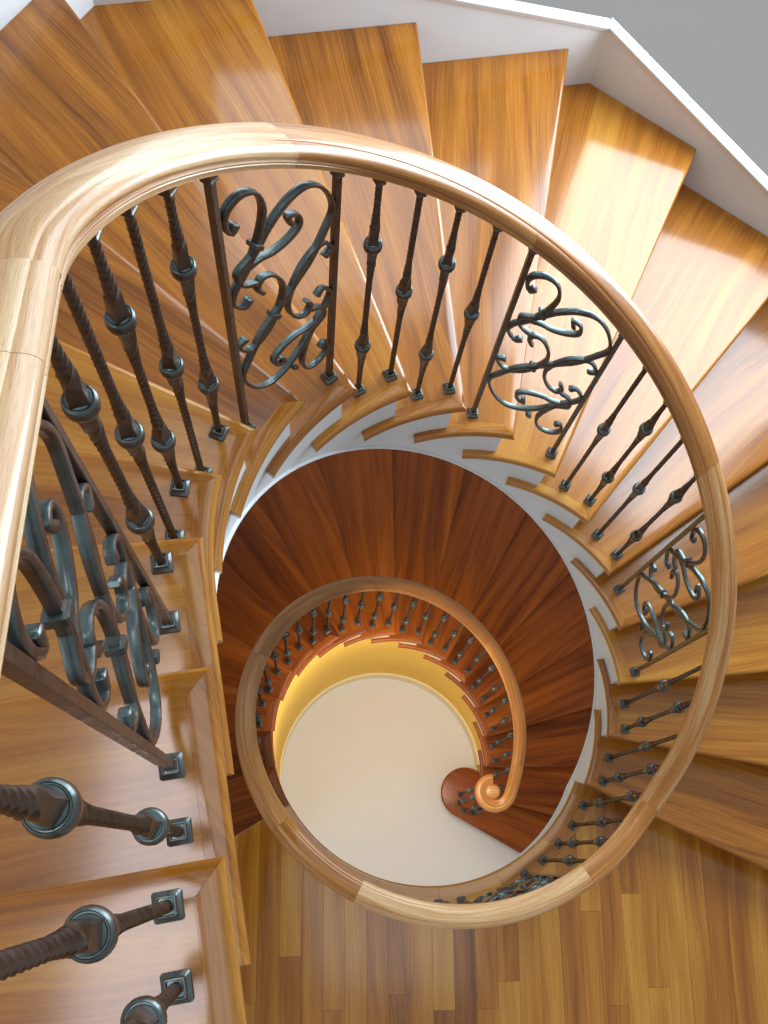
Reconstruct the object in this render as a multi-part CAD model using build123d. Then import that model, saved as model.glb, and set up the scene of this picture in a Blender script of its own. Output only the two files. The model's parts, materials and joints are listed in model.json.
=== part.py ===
from build123d import *
import math
import os

# Curved staircase of two flights round an open well, in millimetres and degrees.
# +Z is up and the stair climbs counter-clockwise seen from above.
# Angles are measured about the axis of the well.

# Rise, turn and start of the flights
rise = 190.0
risers = 17
turn = 15.0
lower_start = -27.5
upper_start = -23.0
straight_lead = 183.0
straight_going = 242.0
top_landing_length = 900.0

# Eight-sided tower that the outer ends of the treads follow
tower_corner = 79.0
tower_apothem = 1925.0
tower_side = 45.0
string_board = 25.0
board_above = 130.0
board_below = 290.0

# Treads, risers and their returned ends
nosing_radius = 641.0
return_projection = 24.0
return_width = 38.0
return_tail = 100.0
tread_thickness = 30.0
overhang = 28.0
riser_thickness = 20.0

# Cut strings, drum wall and baseboard at the well
upper_string_thickness = 45.0
lower_string_thickness = 12.0
fascia_depth = 255.0
lower_string_depth = 300.0
drum_thickness = 100.0
steps_per_drum_wall = 4
baseboard_thickness = 14.0
baseboard_height = 150.0
seat_gap = 0.3

# Landings
landing_edge_width = 90.0

# Starting step with its round end
lobe_radius = 165.0
lobe_out = 555.0

# Handrail
rail_from_nosing = 65.0
rail_radius = nosing_radius + rail_from_nosing
rail_width = 73.0
rail_height = 65.0
rail_corner = 20.0
rail_top_above_nosing = 870.0
rail_top_above_landing = 960.0
rail_ease_turn = 7.0
rail_joint = 0.4
rail_piece_turn = 56.0
rail_station_turn = 4.0
rail_end_margin = 40.0

# Volute at the foot of the handrail
volute_turn = -14.0
volute_ease_start = -2.0
volute_ease_length = 270.0
volute_bends = 6
volute_radii = (92.0, 80.0, 70.0)
volute_eye_radius = 46.0
volute_post_bends = (7, 10, 14, 17, 20)

# Balusters
first_share = 0.22
second_share = 0.72
straight_shares = (1 / 6, 1 / 2, 5 / 6)
bar_radius = 6.5
knuckle_radius = 19.0
knuckle_swell = 10.5
knuckle_half_height = 15.0
swell_length = 110.0
shoe_side = 32.0
shoe_height = 22.0
collar_side = 28.0
collar_height = 20.0
bar_gap = 0.3
double_knuckle_shares = (0.27, 0.74)
single_knuckle_shares = (0.52,)
straight_radius = 1e6

# Scroll panels between square bars
panel_bar = 13.0
scroll_thickness = 10.0
scroll_width = 15.0
scroll_faces_per_point = 2
panel_design_width = 250.0
panel_middle = 488.0
panel_foot = 47.5
panel_line_share = 0.47
landing_panel_bays = {2: 5, 10: 13}
upper_panel_treads = {2: 3, 6: 7, 10: 11}

# Worked-out sizes
landing_height = rise * risers
top_height = landing_height * 2
tower_tangent = tower_corner + 2.5 * tower_side
tower_half_side = tower_apothem * math.tan(math.radians(tower_side / 2))
string_radius = nosing_radius + return_projection
upper_back = string_radius + upper_string_thickness
lower_back = string_radius + lower_string_thickness
drum_radius = lower_back + seat_gap
drum_back = drum_radius + drum_thickness
upper_seat = upper_back + seat_gap
return_back = nosing_radius + return_width
riser_back = overhang + riser_thickness
round_treads = math.floor((tower_tangent - upper_start) / turn)
straight_end = straight_lead + straight_going * (risers - 2 - round_treads) + top_landing_length
rail_slope = rise / (math.radians(turn) * rail_radius)
straight_slope = rise / straight_going
far = 6000.0
near = 200.0
band_margin_turn = 4.0
cutter_margin = 60.0
board_margin = 50.0
cutter_length = 260.0
cutter_reach = 900.0


def direction(angle):
    return Vector(math.cos(math.radians(angle)), math.sin(math.radians(angle)))


# A nosing line is its point nearest the axis and the angle at which it runs outward

def lower_line(step):
    return Vector(0, 0), lower_start + turn * step


def upper_line(step):
    if step <= round_treads:
        return Vector(0, 0), upper_start + turn * step
    along = straight_lead + straight_going * (step - round_treads - 1)
    return direction(tower_tangent + 90) * along, tower_tangent


def on_line(line, out, ahead=0.0):
    point, angle = line
    return point + direction(angle) * out + direction(angle + 90) * ahead


def polygon(*points):
    return make_face(Polyline(*points, close=True))


def wedge(line_a, ahead_a, line_b, ahead_b, inner=near, outer=far):
    """Plan between two nosing lines, each moved ahead of its nosing."""
    return polygon(on_line(line_a, inner, ahead_a), on_line(line_a, outer, ahead_a),
                   on_line(line_b, outer, ahead_b), on_line(line_b, inner, ahead_b))


def tower_point(side, apothem=tower_apothem):
    return direction(tower_corner + tower_side * side) * (apothem / math.cos(math.radians(tower_side / 2)))


def lower_plan(inner):
    """Plan inside the tower and outside a circle round the well."""
    return polygon(*[tower_point(side) for side in range(8)]) - Circle(inner)


def straight_box(out_a, out_b, along_a, along_b):
    """Plan rectangle beside the straight run at the head of the upper flight."""
    base = (direction(tower_tangent + 90) * along_a, tower_tangent)
    head = (direction(tower_tangent + 90) * along_b, tower_tangent)
    return polygon(on_line(base, out_a), on_line(base, out_b), on_line(head, out_b), on_line(head, out_a))


def upper_plan(inner):
    """The same for the upper flight, whose last side runs straight on."""
    corners = [tower_point(side) for side in range(-3, 3)]
    head = (direction(tower_tangent + 90) * straight_end, tower_tangent)
    outline = polygon(*corners, on_line(head, tower_apothem), on_line(head, 0), Vector(0, 0))
    return outline - Circle(inner) - straight_box(0, inner, 0, straight_end)


def slab(plan, low, high):
    return Pos(0, 0, low) * extrude(plan, amount=high - low)


def solids_of(*shapes):
    return [solid for shape in shapes for solid in shape.solids()]


# Treads, risers and return nosings of one flight

def step_plan(line, plan, back, step):
    """One tread: it passes under the next riser, but stops at the string."""
    here = line(step)
    above = line(step + 1)
    front = wedge(here, 0, above, overhang) & plan(return_back)
    under = wedge(here, 0, above, riser_back) & plan(max(back, return_back))
    return front + under


def tread(line, plan, back, step, base):
    top = base + rise * (step + 1)
    return slab(step_plan(line, plan, back, step), top - tread_thickness, top)


def riser(line, plan, back, step, base):
    foot = base + rise * step
    board = wedge(line(step), overhang, line(step), riser_back) & plan(back)
    return slab(board, foot, foot + rise - tread_thickness)


def ring_cut(line, step, ahead, inner, outer, curved):
    """Strip of plan at the well from a nosing line to a place ahead of the next one."""
    strip = wedge(line(step), 0, line(step + 1), ahead)
    if curved:
        return strip & (Circle(outer) - Circle(inner))
    return strip & straight_box(inner, outer, -far / 10, straight_end)


def return_nosing(line, step, base, curved=True):
    """Curved nosing on the inner end of a tread, with a tail past the riser above."""
    top = base + rise * (step + 1)
    own = ring_cut(line, step, overhang, nosing_radius, return_back, curved)
    tail = ring_cut(line, step, overhang + return_tail, nosing_radius, string_radius - seat_gap, curved)
    return slab(own + tail, top - tread_thickness, top)


# Cut strings at the well

def joint_angle(start):
    return start + math.degrees(math.asin(overhang / string_radius))


def string_band(outer, start_angle, end_angle, low, high):
    """Helical band along the well; low and high are heights at its start, about the start of its path."""
    inner = string_radius
    climb = rise / turn * (end_angle - start_angle)
    path = Helix(rise / turn * 360, climb, (inner + outer) / 2)
    section = Plane.XZ * Pos((inner + outer) / 2, (low + high) / 2) * Rectangle(outer - inner, high - low)
    return Rot(0, 0, start_angle) * sweep(section, path, is_frenet=True)


def step_cutters(line, steps, base, outer):
    """Blocks of air over the seats of the treads."""
    cutters = []
    for step in steps:
        seat = base + rise * (step + 1) - tread_thickness
        air = wedge(line(step), overhang, line(step + 1), overhang,
                    string_radius - cutter_margin, outer + cutter_margin)
        cutters.append(slab(air, seat, seat + 3 * rise))
    return cutters


def end_cutter(line, step, ahead, side, low, high):
    """Block that trims a band square at a nosing line; side is -1 before it and 1 after it."""
    reach = ahead + side * cutter_length
    return slab(wedge(line(step), ahead, line(step), reach, near, cutter_reach), low, high)


def upper_string():
    first = upper_start - band_margin_turn
    last = tower_tangent
    nosing_at_first = rise * ((first - upper_start) / turn + 1)
    joint = joint_angle(upper_start)
    low = -fascia_depth - rise / turn * (joint - first)
    band = Pos(0, 0, landing_height) * string_band(upper_back, first, last, low, nosing_at_first)
    band -= end_cutter(upper_line, 0, overhang, -1, 0, top_height)
    for cutter in step_cutters(upper_line, range(round_treads + 1), landing_height, upper_back):
        band -= cutter
    return band


def upper_string_foot():
    """Height of the underside of the upper string where the straight run begins."""
    joint = joint_angle(upper_start)
    return landing_height - fascia_depth + rise / turn * (tower_tangent - joint)


def straight_string():
    """Cut string beside the straight run, drawn along the run and set up on edge."""
    first = round_treads + 1
    seat = landing_height + rise * first - tread_thickness
    along = straight_lead + overhang
    profile = [Vector(0, upper_string_foot()), Vector(0, seat)]
    for step in range(first, risers - 1):
        profile += [Vector(along, seat), Vector(along, seat + rise)]
        seat += rise
        along += straight_going
    profile += [Vector(along, seat), Vector(along, top_height - fascia_depth)]
    upright = Plane(origin=direction(tower_tangent) * string_radius, x_dir=direction(tower_tangent + 90),
                    z_dir=direction(tower_tangent))
    return extrude(upright * polygon(*profile), amount=upper_string_thickness)


def lower_string():
    first = lower_start + turn - band_margin_turn
    last = lower_start + turn * (risers - 1) + band_margin_turn
    nosing_at_first = rise * ((first - lower_start) / turn + 1)
    band = string_band(lower_back, first, last, nosing_at_first - lower_string_depth, nosing_at_first)
    band -= end_cutter(lower_line, 1, overhang, -1, -rise, landing_height)
    band -= end_cutter(lower_line, risers - 1, overhang, 1, 0, landing_height + rise)
    for cutter in step_cutters(lower_line, range(1, risers - 1), 0, lower_back):
        band -= cutter
    return band


# Drum wall under the lower flight

def drum_wall(steps):
    wall = None
    for step in steps:
        plan = wedge(lower_line(step), riser_back, lower_line(step + 1), riser_back)
        plan = plan & (Circle(drum_back) - Circle(drum_radius))
        block = slab(plan, 0, rise * (step + 1) - tread_thickness)
        wall = block if wall is None else wall + block
    return wall


def drum_base_wall(steps):
    """Part of the drum that backs the baseboard, in front of the wall and under the string."""
    plan = None
    for step in steps:
        bay = wedge(lower_line(step), riser_back, lower_line(step + 1), riser_back)
        bay = bay & (Circle(drum_radius - seat_gap) - Circle(drum_radius - seat_gap - baseboard_thickness))
        plan = bay if plan is None else plan + bay
    return slab(plan, 0, baseboard_height)


# Starting step

def lobe_centre():
    return on_line(lower_line(0), lobe_out, lobe_radius)


def starting_plan(inset):
    """Plan of the starting step; inset is how far its block stands behind the tread's edge."""
    here = lower_line(0)
    above = lower_line(1)
    strings = wedge(above, overhang, lower_line(4), 0) & (Circle(far / 2) - Circle(string_radius - seat_gap))
    lobe = Pos(lobe_centre().X, lobe_centre().Y) * Circle(lobe_radius - inset) - strings
    inside = lower_plan(near)
    front = wedge(here, inset, above, overhang, lobe_out) & inside
    under = wedge(here, inset, above, riser_back, lobe_out) & lower_plan(drum_radius)
    return lobe + front + under


# Boards along the tower's walls

def string_board_on(normal, heights, mitre_start, mitre_end, floor=None):
    """Board on one wall; heights are (place along the wall, nosing height) pairs."""
    along = direction(normal + 90)
    out = direction(normal)
    first = heights[0][0]
    last = heights[-1][0]
    spread = string_board * math.tan(math.radians(tower_side / 2))
    inner_a = out * tower_apothem + along * first
    inner_b = out * tower_apothem + along * last
    outer_a = out * (tower_apothem + string_board) + along * (first - (spread if mitre_start else 0))
    outer_b = out * (tower_apothem + string_board) + along * (last + (spread if mitre_end else 0))
    line = [Vector(*pair) for pair in heights]
    start_run = (line[0] - line[1]).normalized() * (spread + board_margin)
    end_run = (line[-1] - line[-2]).normalized() * (spread + board_margin)
    line = [line[0] + start_run, *line[1:-1], line[-1] + end_run]
    low_edge = [point - Vector(0, board_below) for point in line]
    high_edge = [point + Vector(0, board_above) for point in line]
    upright = Plane(origin=out * (tower_apothem - board_margin), x_dir=along, z_dir=out)
    side = extrude(upright * polygon(*low_edge, *reversed(high_edge)), amount=string_board + 2 * board_margin)
    board = side & slab(polygon(inner_a, inner_b, outer_b, outer_a), -far, 2 * far)
    if floor is not None:
        board -= slab(Rectangle(4 * far, 4 * far), floor - far, floor)
    return board


def wall_place(angle, normal):
    return tower_apothem * math.tan(math.radians(angle - normal))


def wall_boards(start, end, base, floor=None):
    """Boards on every wall that a round flight passes, mitred at the tower's corners."""
    boards = []
    gap = seat_gap / 2
    side = math.floor((start - tower_corner) / tower_side)
    while tower_corner + tower_side * side < end - 1:
        low_corner = tower_corner + tower_side * side
        normal = low_corner + tower_side / 2
        low = max(low_corner, start)
        high = min(low_corner + tower_side, end)
        centre = base + rise * ((normal - start) / turn + 1)
        slope = rise * tower_side / turn / (2 * tower_half_side)
        places = [wall_place(low, normal) + gap, wall_place(high, normal) - gap]
        heights = [(place, centre + slope * place) for place in places]
        boards.append(string_board_on(normal, heights, low == low_corner, high < end, floor))
        side += 1
    return boards


def last_wall_board():
    """Board on the wall that runs straight on past the last round tread."""
    normal = tower_tangent
    corner = normal - tower_side / 2
    places = [(-tower_half_side + seat_gap / 2, landing_height + rise * ((corner - upper_start) / turn + 1))]
    last_round = upper_start + turn * round_treads
    places.append((wall_place(last_round, normal), landing_height + rise * (round_treads + 1)))
    for step in range(round_treads + 1, risers):
        place = straight_lead + straight_going * (step - round_treads - 1)
        places.append((place, landing_height + rise * (step + 1)))
    places.append((straight_end, top_height))
    return string_board_on(normal, places, True, False)


# Landings

def landing_floor():
    end = lower_line(risers - 1)
    begin = upper_line(0)
    edge = nosing_radius + landing_edge_width
    front = wedge(end, 0, begin, overhang) & lower_plan(edge)
    under = wedge(end, 0, begin, riser_back) & lower_plan(edge)
    return slab(front + under, landing_height - tread_thickness, landing_height)


def landing_edge():
    """Curved boards with a nosing round the well."""
    end = lower_line(risers - 1)
    begin = upper_line(0)
    ring = Circle(nosing_radius + landing_edge_width) - Circle(nosing_radius)
    outer_ring = Circle(nosing_radius + landing_edge_width) - Circle(upper_seat)
    plan = (wedge(end, 0, begin, overhang) & ring) + (wedge(end, 0, begin, riser_back) & outer_ring)
    return slab(plan, landing_height - tread_thickness, landing_height)


def landing_fascia():
    plan = wedge(lower_line(risers - 1), overhang, upper_line(0), overhang)
    plan = plan & (Circle(lower_back) - Circle(string_radius))
    return slab(plan, landing_height - fascia_depth, landing_height - tread_thickness)


def landing_frame():
    end = lower_line(risers - 1)
    begin = upper_line(0)
    front = wedge(end, riser_back, begin, overhang) & lower_plan(drum_radius)
    under = wedge(end, riser_back, begin, riser_back) & lower_plan(upper_seat)
    return slab(front + under, landing_height - fascia_depth, landing_height - tread_thickness)


def top_floor():
    plan = straight_box(nosing_radius, tower_apothem, top_line_along(), straight_end)
    return slab(plan, top_height - tread_thickness, top_height)


def top_line_along():
    return straight_lead + straight_going * (risers - 2 - round_treads)


def top_frame():
    plan = straight_box(upper_back, tower_apothem, top_line_along() + riser_back, straight_end)
    return slab(plan, top_height - fascia_depth, top_height - tread_thickness)


def top_fascia():
    plan = straight_box(string_radius, upper_back, top_line_along() + overhang, straight_end)
    return slab(plan, top_height - fascia_depth, top_height - tread_thickness)


# Handrail: a line of stations (plan point, height of the rail's top, heading outward angle)

upper_first = 360 + upper_start
upper_last_round = upper_first + turn * round_treads
lower_meets = lower_start + turn * (risers - 2 + (rail_top_above_landing - rail_top_above_nosing) / rise + 1)
upper_meets = upper_first - turn * (1 - (rail_top_above_landing - rail_top_above_nosing) / rise)


def eased(t, meet, before, after, ease):
    """Height change over a bend at meet, from one slope per degree to another."""
    x = min(max(t - (meet - ease), 0), 2 * ease)
    rest = max(t - (meet + ease), 0)
    return before * (t - rest - x - meet) + before * x + (after - before) * x * x / (4 * ease) + after * rest


def rail_top(t):
    """Height of the rail's top at an angle that runs on from the lower flight to the upper."""
    climb = rise / turn
    level = landing_height + rail_top_above_landing
    if t < (lower_meets + upper_meets) / 2:
        return level + eased(t, lower_meets, climb, 0, rail_ease_turn)
    if t < (upper_meets + upper_last_round) / 2:
        return level + eased(t, upper_meets, 0, climb, rail_ease_turn)
    slow = straight_slope * math.radians(1) * rail_radius
    top = landing_height + rise * (round_treads + 1) + rail_top_above_nosing
    return top + eased(t, upper_last_round, climb, slow, rail_ease_turn / 2)


def volute_top(place):
    """Height of the volute's top at a distance down it from its joint with the rail."""
    x = min(max(place, 0), volute_ease_length)
    return rail_top(volute_ease_start) - rail_slope * (x - x * x / (2 * volute_ease_length))


def hand_top(t):
    """Height of the rail's top, and of the volute's where that takes over."""
    if t < volute_ease_start:
        return volute_top(math.radians(volute_ease_start - t) * rail_radius)
    return rail_top(t)


def straight_top(along):
    top = top_height + rail_top_above_nosing + straight_slope * (along - top_line_along())
    return min(top, top_height + rail_top_above_landing)


def round_station(t):
    return direction(t) * rail_radius, rail_top(t), t


def straight_station(along):
    point = direction(tower_tangent) * rail_radius + direction(tower_tangent + 90) * along
    return point, straight_top(along), tower_tangent


def rail_section(station, scale=1.0):
    point, top, angle = station
    plane = Plane(origin=(point.X, point.Y, top - rail_height / 2), x_dir=direction(angle),
                  z_dir=-direction(angle + 90))
    return plane * RectangleRounded(rail_width * scale, rail_height, rail_corner * scale)


def rail_piece(stations, scales=None):
    scales = scales or [1.0] * len(stations)
    return loft([rail_section(station, scale) for station, scale in zip(stations, scales)])


def round_rail(start, end):
    """Pieces of rail between two angles, with hairline joints."""
    pieces = []
    count = max(1, round((end - start) / rail_piece_turn))
    length = (end - start) / count
    joint = math.degrees(rail_joint / 2 / rail_radius)
    for index in range(count):
        first = start + length * index + joint
        last = start + length * (index + 1) - joint
        spans = math.ceil((last - first) / rail_station_turn)
        angles = [first + (last - first) * i / spans for i in range(spans + 1)]
        pieces.append(rail_piece([round_station(angle) for angle in angles]))
    return pieces


def straight_rail():
    bend = top_line_along() + (rail_top_above_landing - rail_top_above_nosing) / straight_slope
    rake = rail_piece([straight_station(rail_joint), straight_station(bend)])
    level = rail_piece([straight_station(bend), straight_station(straight_end - rail_end_margin)])
    return rake + level


def arc_stations(point, angle, radius, sweep_angle, count):
    """Points down a tightening bend; angle is the outward direction of the rail there."""
    centre = point - direction(angle) * radius
    return [(centre + direction(angle - sweep_angle * i / count) * radius, angle - sweep_angle * i / count)
            for i in range(1, count + 1)]


def volute_stations():
    """Stations down the volute, each with its distance from the joint with the rail."""
    joint = math.degrees(rail_joint / 2 / rail_radius)
    first = volute_ease_start - joint
    lead = [first + (volute_turn - first) * i / (volute_bends - 1) for i in range(volute_bends)]
    plan = [(direction(t) * rail_radius, t) for t in lead]
    for radius, sweep_angle in zip(volute_radii, (90 + volute_turn, 90, 90)):
        plan += arc_stations(*plan[-1], radius, sweep_angle, volute_bends)
    places = [0.0]
    for (here, _), (there, _) in zip(plan, plan[1:]):
        places.append(places[-1] + (there - here).length)
    return [(point, volute_top(place), angle) for (point, angle), place in zip(plan, places)], places


def volute(stations):
    """Easing, three tightening bends and a round eye."""
    middle = 2 * volute_bends
    curl = rail_piece(stations[:middle + 1]) + rail_piece(stations[middle:])
    point, level, angle = stations[-1]
    centre = point - direction(angle) * volute_radii[-1]
    eye = slab(Pos(centre.X, centre.Y) * Circle(volute_eye_radius), level - rail_height, level)
    return curl + eye


# Balusters

def shaft_profile(length, knuckles):
    """Half outline of a bar with round knuckles at the given heights."""
    points = [Vector(0, 0), Vector(bar_radius, 0)]
    for middle in knuckles:
        points += [Vector(bar_radius, middle - swell_length),
                   Vector(knuckle_swell, middle - knuckle_half_height),
                   Vector(knuckle_radius, middle - knuckle_half_height / 3),
                   Vector(knuckle_radius, middle + knuckle_half_height / 3),
                   Vector(knuckle_swell, middle + knuckle_half_height),
                   Vector(bar_radius, middle + swell_length)]
    points += [Vector(bar_radius, length), Vector(0, length)]
    return points


def collar(length, slope, side):
    """Square collar under the rail, cut to the rail's slope."""
    half = side / 2
    drop = slope * half
    base = length - collar_height
    outline = polygon(Vector(-half, base - drop), Vector(half, base + drop),
                      Vector(half, length + drop), Vector(-half, length - drop))
    return Pos(-half, 0, 0) * (Plane.YZ * extrude(outline, amount=side))


def baluster(length, slope, kind):
    """One bar on the X axis, its outward side to +X and the climb to +Y."""
    shoe = Pos(0, 0, shoe_height / 2) * Box(shoe_side, shoe_side, shoe_height)
    cap = collar(length, slope, collar_side)
    stop = length - collar_height / 2
    if kind == "plain":
        return shoe + cap + Pos(0, 0, stop / 2) * Box(panel_bar, panel_bar, stop)
    shares = double_knuckle_shares if kind == "double" else single_knuckle_shares
    outline = polygon(*shaft_profile(stop, [length * share for share in shares]))
    return shoe + cap + revolve(Plane.XZ * outline, Axis.Z)


prototypes = {}


def placed_baluster(point, angle, foot, top, slope, kind):
    key = (round(top - foot, 2), round(slope, 3), kind)
    if key not in prototypes:
        prototypes[key] = baluster(*key)
    return Pos(point.X, point.Y, foot) * Rot(0, 0, angle) * prototypes[key]


def collar_top(top_at, radius, slope):
    """Middle height of a sloping collar whose corners all clear the rail's underside.

    top_at gives the rail's top at a distance ahead along the rail's middle line.
    """
    half = collar_side / 2
    heights = [top_at(0)]
    for outward in (-half, half):
        for ahead in (-half, half):
            along = math.atan2(ahead, radius + outward) * radius
            heights.append(top_at(along) - slope * ahead)
    return min(heights) - rail_height - bar_gap


def slope_of(top_at):
    return (top_at(1) - top_at(-1)) / 2


def round_baluster(t, foot, kind):
    def top_at(ahead):
        return hand_top(t + math.degrees(ahead / rail_radius))
    slope = slope_of(top_at)
    top = collar_top(top_at, rail_radius, slope)
    return placed_baluster(direction(t) * rail_radius, t, foot, top, slope, kind)


def straight_baluster(along, foot, kind):
    def top_at(ahead):
        return straight_top(along + ahead)
    slope = slope_of(top_at)
    top = collar_top(top_at, straight_radius, slope)
    return placed_baluster(straight_station(along)[0], tower_tangent, foot, top, slope, kind)


def volute_baluster(point, place, angle, kind):
    def top_at(ahead):
        return volute_top(place - ahead)
    slope = slope_of(top_at)
    top = collar_top(top_at, volute_radii[1], slope)
    return placed_baluster(point, angle, rise, top, slope, kind)


def kind_of(index):
    return "double" if index % 2 else "single"


# Scroll panels: half of the pattern, which repeats turned about the middle
# Each list runs along one scroll, as (across, height) from the middle of the feet
# Across is measured down the flight

big_scroll = [(0, 488), (28, 541), (62, 606), (94, 690), (115, 764), (92, 822), (55, 835), (12, 797),
              (-30, 727), (-62, 655), (-98, 600), (-92, 562), (-64, 562)]
hook_scroll = [(-92, 745), (-103, 722), (-112, 748), (-104, 785), (-78, 820), (-50, 824), (-38, 780),
               (-52, 697), (-78, 615), (-108, 548), (-115, 506), (-94, 487), (-80, 510)]
inner_scroll = [(-52, 524), (-62, 540), (-52, 572), (-28, 578), (-8, 548), (-6, 500), (-25, 432), (-52, 370),
                (-90, 322), (-115, 342), (-98, 368)]
bud_scroll = [(18, 730), (12, 752), (32, 756), (36, 726), (14, 688), (-22, 652), (-50, 638),
              (-76, 618)]


def scroll_strip(points, scale, slope):
    """Flat bar of short straight faces along a smooth line, sheared to the slope of the flight."""
    line = Spline(*[Vector(across * scale, height + slope * across * scale) for across, height in points])
    count = scroll_faces_per_point * len(points)
    left = []
    right = []
    for index in range(count + 1):
        share = index / count
        side = (line % share).rotate(Axis.Z, 90) * (scroll_thickness / 2)
        left.append((line @ share) + side)
        right.append((line @ share) - side)
    return polygon(*left, *reversed(right))


def scroll_work(width, slope):
    """Fused scrollwork in its own upright plane."""
    scale = (width - panel_bar) / (panel_design_width - panel_bar)
    work = None
    for points in (big_scroll, hook_scroll, inner_scroll, bud_scroll):
        twin = [(-across, 2 * panel_middle - height) for across, height in points]
        for run in (points, twin):
            strip = scroll_strip(run, scale, slope)
            work = strip if work is None else work + strip
    return work


def scroll_panel(bars, points, lines):
    """Two square bars at two points with scrollwork between; lines are the heights it is set out from."""
    across = points[0] - points[1]
    width = across.length
    slope = (lines[0] - lines[1]) / width
    middle = (points[0] + points[1]) / 2
    height = (lines[0] + lines[1]) / 2
    upright = Plane(origin=(middle.X, middle.Y, height), x_dir=across,
                    z_dir=Vector(0, 0, 1).cross(across) * -1)
    work = extrude(upright * scroll_work(width, slope), amount=scroll_width / 2, both=True)
    return solids_of(bars[0] + work + bars[1])


# Making the nodes

nodes = {}
lower_steps = range(1, risers - 1)
upper_steps = range(risers - 1)
upper_round = range(round_treads)

nodes["starting_step"] = solids_of(slab(starting_plan(overhang), 0, rise - tread_thickness))
nodes["starting_tread"] = solids_of(slab(starting_plan(0), rise - tread_thickness, rise))
nodes["lower_treads"] = solids_of(*[tread(lower_line, lower_plan, drum_radius, step, 0)
                                    for step in lower_steps])
nodes["lower_risers"] = solids_of(*[riser(lower_line, lower_plan, drum_radius, step, 0)
                                    for step in range(1, risers)])
nodes["lower_return_nosings"] = solids_of(*[return_nosing(lower_line, step, 0) for step in lower_steps])
nodes["lower_inner_string"] = solids_of(lower_string())
drum_steps = list(lower_steps)
for number, first in enumerate(range(0, len(drum_steps), steps_per_drum_wall)):
    nodes[f"drum_wall_{number + 1}"] = solids_of(drum_wall(drum_steps[first:first + steps_per_drum_wall]))
nodes["drum_baseboard"] = solids_of(drum_base_wall(range(2, risers - 1)))
nodes["lower_wall_string"] = solids_of(*wall_boards(lower_start, lower_start + turn * (risers - 1), 0, 0))

nodes["landing_floor"] = solids_of(landing_floor())
nodes["landing_edge"] = solids_of(landing_edge())
nodes["landing_fascia"] = solids_of(landing_fascia())
nodes["landing_frame"] = solids_of(landing_frame())

nodes["upper_treads"] = solids_of(*[tread(upper_line, upper_plan, upper_seat, step, landing_height)
                                    for step in upper_steps])
nodes["upper_risers"] = solids_of(*[riser(upper_line, upper_plan, upper_seat, step, landing_height)
                                    for step in range(risers)])
nodes["upper_return_nosings"] = solids_of(*[
    return_nosing(upper_line, step, landing_height, step <= round_treads) for step in upper_steps])
nodes["upper_inner_string"] = solids_of(upper_string())
nodes["upper_straight_string"] = solids_of(straight_string())
corner_before_last = tower_tangent - tower_side / 2
nodes["upper_wall_string"] = solids_of(*wall_boards(upper_start, corner_before_last, landing_height),
                                       last_wall_board())
nodes["top_floor"] = solids_of(top_floor())
nodes["top_frame"] = solids_of(top_frame())
nodes["top_fascia"] = solids_of(top_fascia())

curl_stations, curl_places = volute_stations()
nodes["rail_volute"] = solids_of(volute(curl_stations))
nodes["lower_rail"] = solids_of(*round_rail(volute_ease_start, lower_meets))
nodes["landing_rail"] = solids_of(*round_rail(lower_meets, upper_meets))
nodes["upper_rail"] = solids_of(*round_rail(upper_meets, 360 + tower_tangent))
nodes["top_rail"] = solids_of(straight_rail())

# Balusters of the lower flight, two to a tread
lower_bars = []
for step in lower_steps:
    for share in (first_share, second_share):
        t = lower_start + turn * (step + share)
        lower_bars.append(round_baluster(t, rise * (step + 1), kind_of(len(lower_bars))))
nodes["lower_balusters"] = solids_of(*lower_bars)

volute_bars = []
for number, bend in enumerate(volute_post_bends):
    point, _, angle = curl_stations[bend]
    volute_bars.append(volute_baluster(point, curl_places[bend], angle, kind_of(number)))
nodes["volute_balusters"] = solids_of(*volute_bars)

# Balusters and panels of the landing, at equal spaces between the two flights
last_lower = lower_start + turn * (risers - 2 + second_share)
first_upper = upper_first + turn * first_share
spaces = round((first_upper - last_lower) / (turn * (second_share - first_share)))
landing_angles = [last_lower + (first_upper - last_lower) * i / spaces for i in range(1, spaces)]
landing_bars = []
panels = []


def in_bay(number, bays):
    return any(first <= number <= last for first, last in bays.items())


for number, t in enumerate(landing_angles, start=1):
    if not in_bay(number, landing_panel_bays):
        landing_bars.append(round_baluster(t, landing_height, kind_of(number)))
nodes["landing_balusters"] = solids_of(*landing_bars)
for first, last in landing_panel_bays.items():
    ends = [landing_angles[first - 1], landing_angles[last - 1]]
    bars = [round_baluster(t, landing_height, "plain") for t in ends]
    lines = [landing_height + panel_foot] * 2
    panels.append(scroll_panel(bars, [direction(t) * rail_radius for t in ends], lines))

# Balusters and panels of the upper flight, a panel on every fourth tread
upper_bars = []
for step in upper_round:
    for number, share in enumerate((first_share, second_share)):
        t = upper_first + turn * (step + share)
        foot = landing_height + rise * (step + 1)
        if not in_bay(step, upper_panel_treads):
            upper_bars.append(round_baluster(t, foot, kind_of(2 * step + number + 1)))
t = upper_first + turn * (round_treads + first_share)
upper_bars.append(round_baluster(t, landing_height + rise * (round_treads + 1), "double"))
nodes["upper_balusters"] = solids_of(*upper_bars)
for first, last in upper_panel_treads.items():
    ends = [upper_first + turn * (first + first_share), upper_first + turn * (last + second_share)]
    feet = [landing_height + rise * (first + 1), landing_height + rise * (last + 1)]
    bars = [round_baluster(t, foot, "plain") for t, foot in zip(ends, feet)]
    lines = [landing_height + rise * (first + 1 + first_share - panel_line_share),
             landing_height + rise * (last + 1 + second_share - panel_line_share)]
    panels.append(scroll_panel(bars, [direction(t) * rail_radius for t in ends], lines))

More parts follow.
